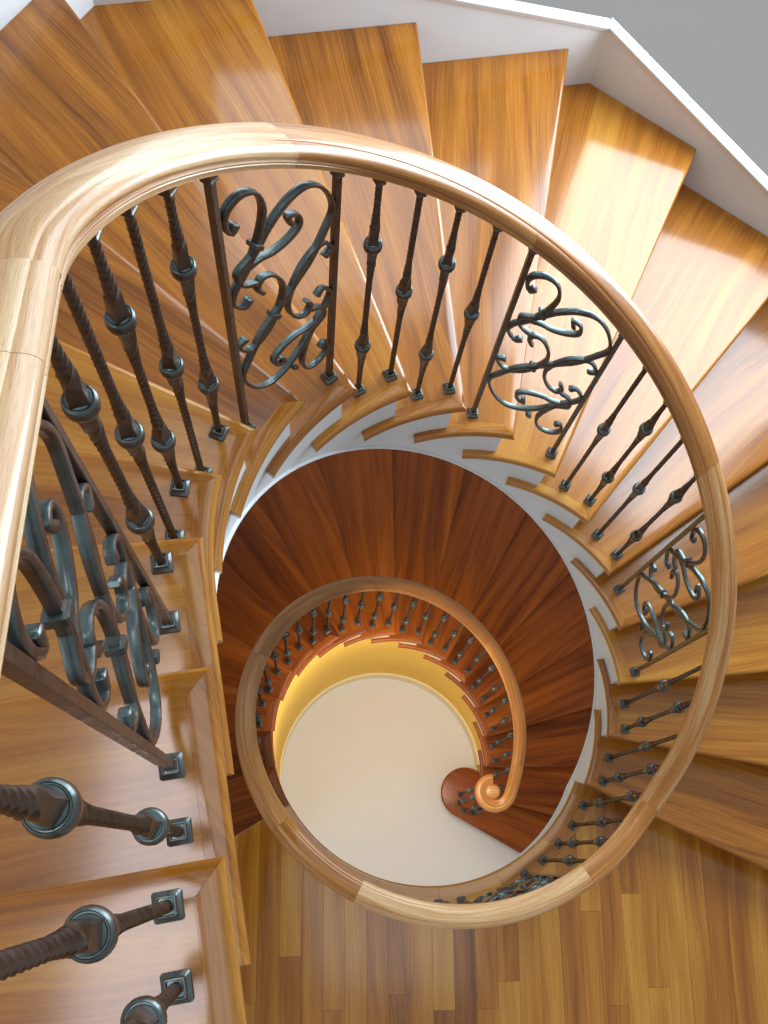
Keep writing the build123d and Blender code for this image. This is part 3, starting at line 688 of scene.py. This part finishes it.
shape = Shape()
bead_r = STRING_R - BEAD_SUNK
ahead = lead_angle(OVER, STRING_R)
turns = evenly(UPPER_START + ahead, TANGENT, 110)
stations = [(unit(t) * bead_r, string_foot(t) + BEAD_UP, t) for t in turns]
alongs = evenly(0, TOP_ALONG + OVER, 8) + [END_ALONG - 0.002]
heights = evenly(string_foot(TANGENT), TOP - FASCIA, 8) + [TOP - FASCIA]
stations += [(beside_run(bead_r, s), z + BEAD_UP, TANGENT) for s, z in zip(alongs[1:], heights[1:])]
sweep(shape, stations, BEAD)
turns = evenly(land_from[1] + ahead, land_to[1] + ahead, 60)
sweep(shape, [(unit(t) * bead_r, LAND - FASCIA + BEAD_UP, t) for t in turns], BEAD)
shape.finish("string_bead", "white_paint")


def wall_place(angle, normal):
    return APOTHEM * tan(radians(angle - normal))


def cap(shape, normal, places, mitres):
    """Moulded cap along the top edge of a wall board; places are (along, height of the board's top)."""
    out, along = unit(normal), unit(normal + 90)
    pulls = [0.0] * len(places)
    if mitres[0]:
        pulls[0] = -HALF_WALL / APOTHEM
    if mitres[1]:
        pulls[-1] = HALF_WALL / APOTHEM
    shape.rings([[(*(out * (APOTHEM + a) + along * (s + a * pull)), h + z) for a, z in CAP]
                 for (s, h), pull in zip(places, pulls)])


def wall_caps(shape, start, end, base):
    """Caps on the wall boards from one angle to another, which climb with the steps."""
    side = floor((start - CORNER) / SIDE)
    slope = RISE * SIDE / TURN / (2 * HALF_WALL)
    while CORNER + SIDE * side < end - 1:
        low_corner = CORNER + SIDE * side
        normal = low_corner + SIDE / 2
        low, high = max(low_corner, start), min(low_corner + SIDE, end)
        centre = base + RISE * ((normal - start) / TURN + 1) + BOARD_ABOVE
        ends = wall_place(low, normal) + CAP_GAP, wall_place(high, normal) - CAP_GAP
        mitres = low == low_corner, high == low_corner + SIDE
        cap(shape, normal, [(s, centre + slope * s) for s in ends], mitres)
        side += 1


shape = Shape()
wall_caps(shape, LOWER_START, LOWER_START + TURN * (RISERS - 1), 0.0)
shape.finish("lower_wall_cap", "cream_paint")
shape = Shape()
corner = TANGENT - SIDE / 2
wall_caps(shape, UPPER_START, corner, LAND)
steps_up = [(CAP_GAP - HALF_WALL, (corner - UPPER_START) / TURN + 1),
            (wall_place(UPPER_START + TURN * ROUND, TANGENT), ROUND + 1)]
steps_up += [(LEAD + GOING * (step - ROUND - 1), step + 1) for step in range(ROUND + 1, RISERS)]
steps_up.append((END_ALONG - CAP_GAP, RISERS))
cap(shape, TANGENT, [(s, LAND + RISE * up + BOARD_ABOVE) for s, up in steps_up], (True, False))
shape.finish("upper_wall_cap", "white_paint")


# Handrail

UPPER_BEND = UPPER_FIRST + TURN * ROUND
LOWER_MEETS = LOWER_START + TURN * (RISERS - 2 + (ABOVE_LAND - ABOVE_NOSE) / RISE + 1)
UPPER_MEETS = UPPER_FIRST - TURN * (1 - (ABOVE_LAND - ABOVE_NOSE) / RISE)
EASE = 7.0
JOINT = 0.0003  # half the gap between two pieces of rail
RAIL_TURN = 1.25  # largest turn between the rail's sections
TOP_JOINT, RAIL_SHORT = 0.12, 0.040  # joint on the straight run, and how far the rail stops before the end
VOLUTE_FROM, VOLUTE_TO, VOLUTE_EASE = -2.0, -14.0, 0.270
VOLUTE_RADII, VOLUTE_GAP, NARROWING = (0.092, 0.080, 0.070), 0.03, 0.16
COIL_STEPS, EYE_SIDES = 14, 48


def eased(t, meet, before, after, ease):
    """Climb from one slope to another, eased on both sides of the angle where they meet."""
    x = min(max(t - (meet - ease), 0), 2 * ease)
    rest = max(t - (meet + ease), 0)
    return before * (t - rest - x - meet) + before * x + (after - before) * x * x / (4 * ease) + after * rest


def rail_top(t):
    level = LAND + ABOVE_LAND
    if t < (LOWER_MEETS + UPPER_MEETS) / 2:
        return level + eased(t, LOWER_MEETS, CLIMB, 0, EASE)
    if t < (UPPER_MEETS + UPPER_BEND) / 2:
        return level + eased(t, UPPER_MEETS, 0, CLIMB, EASE)
    slow = STEEP * radians(1) * RAIL_R
    return LAND + RISE * (ROUND + 1) + ABOVE_NOSE + eased(t, UPPER_BEND, CLIMB, slow, EASE / 2)


def volute_top(run):
    x = min(max(run, 0), VOLUTE_EASE)
    slope = RISE / (radians(TURN) * RAIL_R)
    return rail_top(VOLUTE_FROM) - slope * (x - x * x / (2 * VOLUTE_EASE))


def hand_top(t):
    if t < VOLUTE_FROM:
        return volute_top(radians(VOLUTE_FROM - t) * RAIL_R)
    return rail_top(t)


def straight_top(along):
    return min(TOP + ABOVE_NOSE + STEEP * (along - TOP_ALONG), TOP + ABOVE_LAND)


HALF_RAIL = mm(
    (6, 0), (13, 0.7), (18, 2.2), (19.6, 3.4), (20.3, 5.6), (22.2, 5.9), (26.2, 7.2), (30.5, 10.2),
    (34.2, 15.2), (36.1, 21.2), (36.4, 27.2), (35.3, 32.5), (33.3, 36), (31.6, 37.6), (31.8, 39.2),
    (33.4, 40.8), (33.9, 43.2), (33, 45.6), (31.2, 47), (31.1, 48.6), (32, 50.2), (31.9, 52.4),
    (30.2, 54.4), (28.4, 55.6), (28, 58), (27.6, 1000 * RAIL_H),
)
RAIL = [(a, -d) for a, d in HALF_RAIL] + [(-a, -d) for a, d in reversed(HALF_RAIL)]
EYE = mm(
    (10, 0.3), (24, 0.8), (34, 3), (40, 7.5), (44.5, 14), (46, 22), (45, 30), (41.5, 34.5), (41, 38),
    (42.5, 41), (40.5, 46), (37, 51), (38.5, 56), (37.5, 62.5), (34, 1000 * RAIL_H),
)

# Pieces of rail between neighbouring angles, each of its own tone
gap = degrees(JOINT / RAIL_R)
for node, ends, tones in (
        ("lower_rail", (VOLUTE_FROM, 52, 108, 164, LOWER_MEETS), (0.42, 0.36, 0.44, 0.50)),
        ("landing_rail", (LOWER_MEETS, 245, 305.5, UPPER_MEETS), (0.46, 0.72, 0.46)),
        ("upper_rail", (UPPER_MEETS, 399.5, 454, 500, 360 + TANGENT), (0.58, 0.36, 0.46, 0.70))):
    shape = Shape()
    for a, b, tone in zip(ends, ends[1:], tones):
        first, last = a + gap, b - gap
        turns = evenly(first, last, ceil((last - first) / RAIL_TURN))
        sweep(shape, [(unit(t) * RAIL_R, rail_top(t), t) for t in turns], RAIL, tone)
    shape.finish(f"{node}_moulding", "rail_wood", node)

shape = Shape()
bend = TOP_ALONG + (ABOVE_LAND - ABOVE_NOSE) / STEEP
later = [TOP_JOINT + JOINT, bend * 0.33, bend * 0.66, bend - 0.04, bend - 0.02, bend, bend + 0.02,
         bend + 0.3, END_ALONG - RAIL_SHORT]
for places, tone in (([JOINT, TOP_JOINT - JOINT], 0.74), (later, 0.84)):
    sweep(shape, [(beside_run(RAIL_R, s), straight_top(s), TANGENT) for s in places], RAIL, tone)
shape.finish("top_rail_moulding", "rail_wood", "top_rail")

coil = [(unit(t) * RAIL_R, t) for t in evenly(VOLUTE_FROM - VOLUTE_GAP, VOLUTE_TO - VOLUTE_GAP, 8)]
for radius, bends in zip(VOLUTE_RADII, (90 + VOLUTE_TO, 90, 90)):
    point, angle = coil[-1]
    centre = point - unit(angle) * radius
    coil += [(centre + unit(t) * radius, t) for t in evenly(angle, angle - bends, COIL_STEPS)[1:]]
coil_runs = lengths([point for point, _ in coil])
coil_stations = [(point, volute_top(s), t) for (point, t), s in zip(coil, coil_runs)]
coiled = coil_runs[-1] - VOLUTE_EASE
narrowing = [1.0 - NARROWING * max(0.0, (s - VOLUTE_EASE) / coiled) for s in coil_runs]
shape = Shape()
sweep(shape, coil_stations, RAIL, 0.46, narrowing)
eye_point, eye_top, eye_angle = coil_stations[-1]
eye = eye_point - unit(eye_angle) * VOLUTE_RADII[-1]
disks = [circle(radius, -depth, EYE_SIDES) for radius, depth in EYE]


def eye_grain(i, j):
    x, y, z = disks[i][j % EYE_SIDES]
    return x + 3, y + z + 5


shape.rings([[(eye.x + x, eye.y + y, eye_top + z) for x, y, z in disk] for disk in disks], eye_grain)
shape.finish("volute_moulding", "rail_wood", "rail_volute")


# Ironwork

TWIST_PITCH, SWELL = 0.068, 0.13  # length of a turn of the twist, and of the swelling beside a knuckle
BAR_HALF, SWELL_ADDS, TWIST_ADDS = 0.0056, 0.0062, 0.0007  # half side of a bar, and what widens it
BAR_FOOT, BAR_SHORT, PLAIN_HALF, PLAIN_SHORT = 0.014, 0.010, 0.0065, 0.012
TWIST_FROM, TWIST_GROWS = 0.040, 0.05  # where the twist starts beside a knuckle, and over what length
CORNER_OUT, CORNER_WORN, FLAT = 1.31, 0.18, 0.86  # how far corners stand out, less on a twist; a face's flat
SEATED = 0.0006  # how far a bar runs into the rail
KNUCKLES = {"plain": (), "single": (0.52,), "double": (0.27, 0.74)}  # shares of a bar's length
KNUCKLE_SIDES = 28
FINE, FINER, FINEST = 0.0036, 0.0026, 0.0022  # spacing of a bar's rings, finer nearer to the camera
SHARES = (0.22, 0.72)  # places of a step's two bars
# Half sides and heights
SHOE = mm(
    (16, 0), (16, 6), (15.3, 7), (11.2, 12.4), (10.8, 13.8), (10.8, 19.6), (10.3, 20.9), (9.1, 21.1),
    (8.5, 19.6), (8.4, 15),
)
# The same in millimetres, from the bar's top, and the share of the rail's slope that each follows
COLLAR = [
    (7.8, -36, 0.1), (9.6, -35, 0.2), (9.9, -31, 0.3), (8.6, -29, 0.4), (9.2, -20, 0.7),
    (11.6, -10, 1), (13.8, -4.5, 1), (14, 0, 1),
]
HALF_KNUCKLE = mm(
    (8.6, -14), (11.9, -13.8), (13.3, -12.8), (14, -10.8), (15, -10.7), (15.7, -11.7), (17.1, -10.4),
    (18.4, -7.2), (19, -3),
)


def square_rings(sections):
    """Square rings of (half side, height, slope along +Y)."""
    rings = []
    for half, z, slope in sections:
        soft = half * FLAT
        corners = [(half, -soft), (half, soft), (soft, half), (-soft, half), (-half, soft), (-half, -soft),
                   (-soft, -half), (soft, -half)]
        rings.append([(x, y, z + slope * y) for x, y in corners])
    return rings


def knuckle_rings(middle):
    """Rounded ring with two lips and a groove between them on its faces."""
    profile = HALF_KNUCKLE + [(r, -z) for r, z in reversed(HALF_KNUCKLE)]
    return [circle(r, middle + z, KNUCKLE_SIDES) for r, z in profile]


def bar_rings(length, knuckles, spacing):
    """Square bar, twisted finely, that swells into plain four-sided tapers beside each knuckle."""
    rings = []
    twist, last = 0.0, BAR_FOOT
    for z in evenly(BAR_FOOT, length, ceil((length - BAR_FOOT) / spacing)):
        near = min(abs(z - k) for k in knuckles)
        taper = max(0.0, 1 - near / SWELL)
        twisted = min(1.0, max(0.0, (near - TWIST_FROM) / TWIST_GROWS))
        half = BAR_HALF + SWELL_ADDS * taper ** 1.2 + TWIST_ADDS * twisted
        twist += (z - last) * tau / TWIST_PITCH * twisted
        last = z
        radii = [half, half * (CORNER_OUT - CORNER_WORN * twisted)] * 4
        turns = [tau * j / 8 + twist for j in range(8)]
        rings.append([(r * cos(a), r * sin(a), z) for r, a in zip(radii, turns)])
    return rings


def baluster(shape, point, foot, angle, length, slope, kind, spacing=FINE):
    """Bar with its knuckles, its shoe, and its collar under the rail."""
    knuckles = [length * share for share in KNUCKLES[kind]]
    collar = [(half / 1000, length + z / 1000, lean * slope) for half, z, lean in COLLAR]
    plain = [(PLAIN_HALF, BAR_FOOT, 0), (PLAIN_HALF, length - PLAIN_SHORT, 0)]
    parts = [square_rings([(*pair, 0) for pair in SHOE]), square_rings(collar)]
    parts.append(bar_rings(length - BAR_SHORT, knuckles, spacing) if knuckles else square_rings(plain))
    out, side = unit(angle), unit(angle + 90)
    for rings in parts + [knuckle_rings(middle) for middle in knuckles]:
        shape.rings([[(point.x + out.x * x + side.x * y, point.y + out.y * x + side.y * y, foot + z)
                      for x, y, z in ring] for ring in rings])


def round_baluster(shape, t, foot, kind, spacing=FINE):
    top = hand_top(t) - RAIL_H + SEATED
    slope = (hand_top(t + 0.5) - hand_top(t - 0.5)) / (radians(1) * RAIL_R)
    baluster(shape, unit(t) * RAIL_R, foot, t, top - foot, slope, kind, spacing)


def straight_baluster(shape, along, foot, kind):
    top = straight_top(along) - RAIL_H + SEATED
    slope = (straight_top(along + 0.01) - straight_top(along - 0.01)) / 0.02
    baluster(shape, beside_run(RAIL_R, along), foot, TANGENT, top - foot, slope, kind, FINEST)


def kind_of(number):
    return "double" if number % 2 else "single"


shape = Shape()
places = [(step, share) for step in range(1, RISERS - 1) for share in SHARES]
for number, (step, share) in enumerate(places):
    round_baluster(shape, LOWER_START + TURN * (step + share), RISE * (step + 1), kind_of(number))
shape.finish("lower_iron_bars", "wrought_iron", "lower_balusters")

shape = Shape()
for number, run in enumerate((0.189, 0.250, 0.316, 0.379, 0.434)):
    index = min(range(len(coil_runs)), key=lambda i: abs(coil_runs[i] - run))
    point, top, angle = coil_stations[index]
    slope = (volute_top(coil_runs[index] - 0.01) - volute_top(coil_runs[index] + 0.01)) / 0.02
    baluster(shape, point, RISE, angle, top - RAIL_H + SEATED - RISE, slope, kind_of(number))
shape.finish("volute_iron_bars", "wrought_iron", "volute_balusters")

last_lower = LOWER_START + TURN * (RISERS - 2 + SHARES[1])
first_upper = UPPER_FIRST + TURN * SHARES[0]
spaces = round((first_upper - last_lower) / (TURN * (SHARES[1] - SHARES[0])))
landing_turns = evenly(last_lower, first_upper, spaces)
landing_panels = ((2, 5), (10, 13))
shape = Shape()
for number in range(1, spaces):
    if not any(a <= number <= b for a, b in landing_panels):
        round_baluster(shape, landing_turns[number], LAND, kind_of(number))
shape.finish("landing_iron_bars", "wrought_iron", "landing_balusters")

# On the turned steps the bar with one knuckle comes before the one with two
upper_panels, turned_steps = ((2, 3), (6, 7), (10, 11)), (8, 9)
shape = Shape()
for step in range(ROUND):
    for number, share in enumerate(SHARES, start=step in turned_steps):
        if not any(a <= step <= b for a, b in upper_panels):
            foot = LAND + RISE * (step + 1)
            round_baluster(shape, UPPER_FIRST + TURN * (step + share), foot, kind_of(number + 1), FINER)
last_foot = LAND + RISE * (ROUND + 1)
round_baluster(shape, UPPER_FIRST + TURN * (ROUND + SHARES[0]), last_foot, "double", FINER)
shape.finish("upper_iron_bars", "wrought_iron", "upper_balusters")

shape = Shape()
straight_baluster(shape, LEAD + GOING * 5 / 6, last_foot + RISE, "double")
along = TOP_ALONG + GOING / 6
number = 0
while along <= END_ALONG - RAIL_SHORT:
    straight_baluster(shape, along, TOP, kind_of(number))
    along += GOING / 3
    number += 1
shape.finish("top_iron_bars", "wrought_iron", "top_balusters")


# Scroll panels

# Half of the pattern, in millimetres from its middle line and foot; the other is turned about the middle
SCROLLS = [
    [(0, 488), (28, 541), (62, 606), (94, 690), (115, 764), (92, 822), (55, 835), (12, 797),
     (-30, 727), (-62, 655), (-98, 600), (-92, 562), (-64, 562)],
    [(-92, 745), (-103, 722), (-112, 748), (-104, 785), (-78, 820), (-50, 824), (-38, 780),
     (-52, 697), (-78, 615), (-108, 548), (-115, 506), (-94, 487), (-80, 510)],
    [(-52, 524), (-62, 540), (-52, 572), (-28, 578), (-8, 548), (-6, 500), (-25, 432),
     (-52, 370), (-90, 322), (-115, 342), (-98, 368)],
    [(18, 730), (12, 752), (32, 756), (36, 726), (14, 688), (-22, 652), (-50, 638), (-76, 618)],
]
WRAPS = [(-57, 679, 74, 11), (-28, 431, 68, 10), (13, 183, 57, 9)]  # place, angle and half width
MIDDLE, WIDTH, BAR = 0.488, 0.250, 0.013  # height of the middle, space between bars' centres, width of a bar
STRIP_THICK, STRIP_WIDE, STRIP_CORNER, STRIP_SOFT = 0.0114, 0.0130, 0.0030, 0.0009
BULB, BULB_LENGTH = 0.28, 0.030  # how much the strips thicken towards their ends, and over what length
TIPS = ((0.55, 0.0042), (0.85, 0.0022))  # share of the section left beyond a strip's end
WRAP_WIDE, WRAP_CORNER = 0.0105, 0.002
WRAP_RINGS = ((-0.0075, 0.8), (-0.0065, 1.0), (0.0065, 1.0), (0.0075, 0.8))
LANDING_LINE, LINE_SHARE = 0.0475, 0.47  # the pattern's foot over the landing, and below the line of nosings


def smooth_line(points, count):
    """Points at even spacing along a smooth line through the given ones."""
    dense = []
    for i in range(len(points) - 1):
        p0, p1, p2 = points[max(i - 1, 0)], points[i], points[i + 1]
        p3 = points[min(i + 2, len(points) - 1)]
        for k in range(12):
            t = k / 12
            dense.append(0.5 * ((2 * p1) + (p2 - p0) * t + (2 * p0 - 5 * p1 + 4 * p2 - p3) * t * t
                                + (3 * p1 - p0 - 3 * p2 + p3) * t ** 3))
    dense.append(points[-1])
    runs = lengths(dense)
    even = []
    at = 0
    for goal in evenly(0, runs[-1], count):
        while at < len(runs) - 2 and runs[at + 1] < goal:
            at += 1
        share = (goal - runs[at]) / max(runs[at + 1] - runs[at], 1e-9)
        even.append(dense[at].lerp(dense[at + 1], min(max(share, 0), 1)))
    return even


def strip(shape, line, to_world):
    """Soft-cornered bar along a line in a panel's plane, thicker and rounded at its ends."""
    rings = []
    runs = lengths(line)
    end = len(line) - 1
    for i, p in enumerate(line):
        along = (line[min(i + 1, end)] - line[max(i - 1, 0)]).normalized()
        normal = Vector((-along.y, along.x))
        bulb = BULB * max(0.0, 1 - min(runs[i], runs[-1] - runs[i]) / BULB_LENGTH)
        t = STRIP_THICK / 2 * (1 + bulb)
        w = STRIP_WIDE / 2 * (1 + bulb / 4)
        corner = [(t, w - STRIP_CORNER), (t - STRIP_SOFT, w - STRIP_SOFT), (t - STRIP_CORNER, w)]
        section = [(n * x, o * y) for x, y in ((1, 1), (-1, 1), (-1, -1), (1, -1))
                   for n, o in corner[::x * y]]
        ends = [(1.0, 0.0)]
        if i == 0:
            ends = [(grow, -s) for grow, s in TIPS] + ends
        if i == end:
            ends += reversed(TIPS)
        rings += [[to_world(p + along * s + normal * n * grow, o * (0.6 + 0.4 * grow)) for n, o in section]
                  for grow, s in ends]
    shape.rings(rings)


def wrap_band(shape, centre, lean, half, to_world):
    """Band round the strips where they meet."""
    along = unit(lean)
    normal = Vector((-along.y, along.x))
    rings = []
    for s, grow in WRAP_RINGS:
        t, w, c = half * grow, WRAP_WIDE * grow, WRAP_CORNER
        section = [(t, -w + c), (t, w - c), (t - c, w), (-t + c, w), (-t, w - c), (-t, -w + c), (-t + c, -w),
                   (t - c, -w)]
        rings.append([to_world(centre + along * s + normal * n, o) for n, o in section])
    shape.rings(rings)


def panel(number, ends, where=lambda t: unit(t) * RAIL_R, draw_bar=round_baluster):
    """Scrolls between two plain bars; ends are each bar's place and foot, and the pattern's foot there."""
    shape = Shape()
    first, last = [where(at) for at, _, _ in ends]
    lines = [line for _, _, line in ends]
    width = (first - last).length
    x_dir = (first - last) / width
    out = Vector((x_dir.y, -x_dir.x))
    slope = (lines[0] - lines[1]) / width
    scale = (width - BAR) / (WIDTH - BAR)

    def to_world(p, o):
        q = (first + last) / 2 + x_dir * p.x + out * o
        return q.x, q.y, sum(lines) / 2 + p.y + slope * p.x

    def flat(a, h):
        return Vector((a / 1000 * scale, h / 1000))

    for traced in SCROLLS:
        line = smooth_line([flat(*p) for p in traced], 7 * len(traced))
        strip(shape, line, to_world)
        strip(shape, [Vector((-p.x, 2 * MIDDLE - p.y)) for p in line], to_world)
    for a, h, lean, half in WRAPS:
        wrap_band(shape, flat(a, h), lean, half / 1000, to_world)
    for at, foot, _ in ends:
        draw_bar(shape, at, foot, "plain")
    shape.finish(f"scroll_work_{number}", "wrought_iron", f"scroll_panel_{number}")


for number, pair in enumerate(landing_panels, start=1):
    panel(number, [(landing_turns[i], LAND, LAND + LANDING_LINE) for i in pair])
for number, pair in enumerate(upper_panels, start=3):
    panel(number, [(UPPER_FIRST + TURN * (step + share), LAND + RISE * (step + 1),
                    LAND + RISE * (step + 1 + share - LINE_SHARE)) for step, share in zip(pair, SHARES)])
last_turn = UPPER_START + TURN * (ROUND + SHARES[1]) - TANGENT
straight_ends = ((radians(last_turn) * RAIL_R, last_foot), (LEAD + GOING / 2, last_foot + RISE))
panel(6, [(s, foot, straight_top(s) - ABOVE_NOSE - LINE_SHARE * RISE) for s, foot in straight_ends],
      lambda s: beside_run(RAIL_R, s), straight_baluster)


# Floor, light and camera

def pale_floor(half=30):
    tree = surface("pale_floor")
    cloud = tree.noise(tree.spot(), 0.8, 3.0)
    tree.shade({"Base Color": tree.mixed(cloud, (0.70, 0.69, 0.67), (0.78, 0.77, 0.75)), "Roughness": 0.7})
    mesh = bpy.data.meshes.new("pale_floor")
    corners = [(-half, -half, 0), (half, -half, 0), (half, half, 0), (-half, half, 0)]
    mesh.from_pydata(corners, [], [[0, 1, 2, 3]])
    mesh.materials.append(looks["pale_floor"])
    obj = bpy.data.objects.new("pale_floor", mesh)
    scene.collection.objects.link(obj)
    return obj


pale_floor()

scene.view_settings.view_transform = "Standard"
world = bpy.data.worlds.new("studio")
scene.world = world
tree = Tree(world)
rays = tree.node("LightPath").outputs
seen = tree.weighted(*[(rays[f"Is {kind} Ray"], 1.0) for kind in ("Camera", "Glossy", "Transmission")])
sky = tree.mixed(seen, (0.40, 0.42, 0.44), (0.46, 0.48, 0.50))
tree.put(tree.nodes["Background"].inputs, {0: sky, 1: 1.0})


def lamp(name, at, toward, size, power, color):
    data = bpy.data.lights.new(name, "AREA")
    data.shape = "RECTANGLE"
    data.size, data.size_y = size
    data.energy = power
    data.color = color
    obj = bpy.data.objects.new(name, data)
    start, goal = [Vector((x + OX, y + OY, z)) for x, y, z in (at, toward)]
    obj.location = start
    obj.rotation_euler = (goal - start).to_track_quat("-Z", "Y").to_euler()
    obj.visible_camera = False
    scene.collection.objects.link(obj)


DAYLIGHT_OUT, DAYLIGHT = 2.06, (0.78, 0.90, 1.0)
sides = (("window", 56.5, 0.0, 4.75, 7.15, 1.45, 125), ("window_left", 101.5, -0.15, 5.60, 7.20, 1.15, 20))
for name, angle, along, low, high, width, power in sides:
    at = unit(angle) * DAYLIGHT_OUT + unit(angle + 90) * along
    middle = (low + high) / 2
    lamp(name, (at.x, at.y, middle), (*(at - unit(angle)), middle), (width, high - low), power, DAYLIGHT)
lamp("overhead", (-0.28, 1.02, 15.0), (-0.28, 1.02, 0), (4.14, 6.46), 165, (0.97, 0.98, 1.0))
lamp("skylight", (-1.17, -0.50, 11.0), (-1.17, -0.50, 0), (0.83, 2.0), 38, (0.90, 0.90, 1.0))
lamp("middle", (0, 0, 2.9), (0, 0, 0), (0.7, 0.7), 12, (1.0, 0.84, 0.66))
lamp("well", (0, 0, 2.2), (0, 0, 0), (0.6, 0.6), 12, (1.0, 0.94, 0.86))
lamp("side", (-5.0, -4.0, 8.0), (0, 0, 3.5), (4.0, 4.0), 60, (1.0, 0.97, 0.93))

camera = bpy.data.cameras.new("camera")
camera.sensor_fit = "VERTICAL"
camera.sensor_height = 36.0
camera.lens = 38.67
camera.clip_start = 0.05
view = bpy.data.objects.new("camera", camera)
right = Vector((0.9976, 0.0268, 0.0645)).normalized()
forward = Vector((0.0535, 0.3000, -0.9524)).normalized()
up = right.cross(forward).normalized()
right = forward.cross(up).normalized()
turned = Matrix((right, up, -forward)).transposed().to_4x4()
view.matrix_world = Matrix.Translation((-0.452 + OX, -0.542 + OY, 7.710)) @ turned
scene.collection.objects.link(view)
scene.camera = view
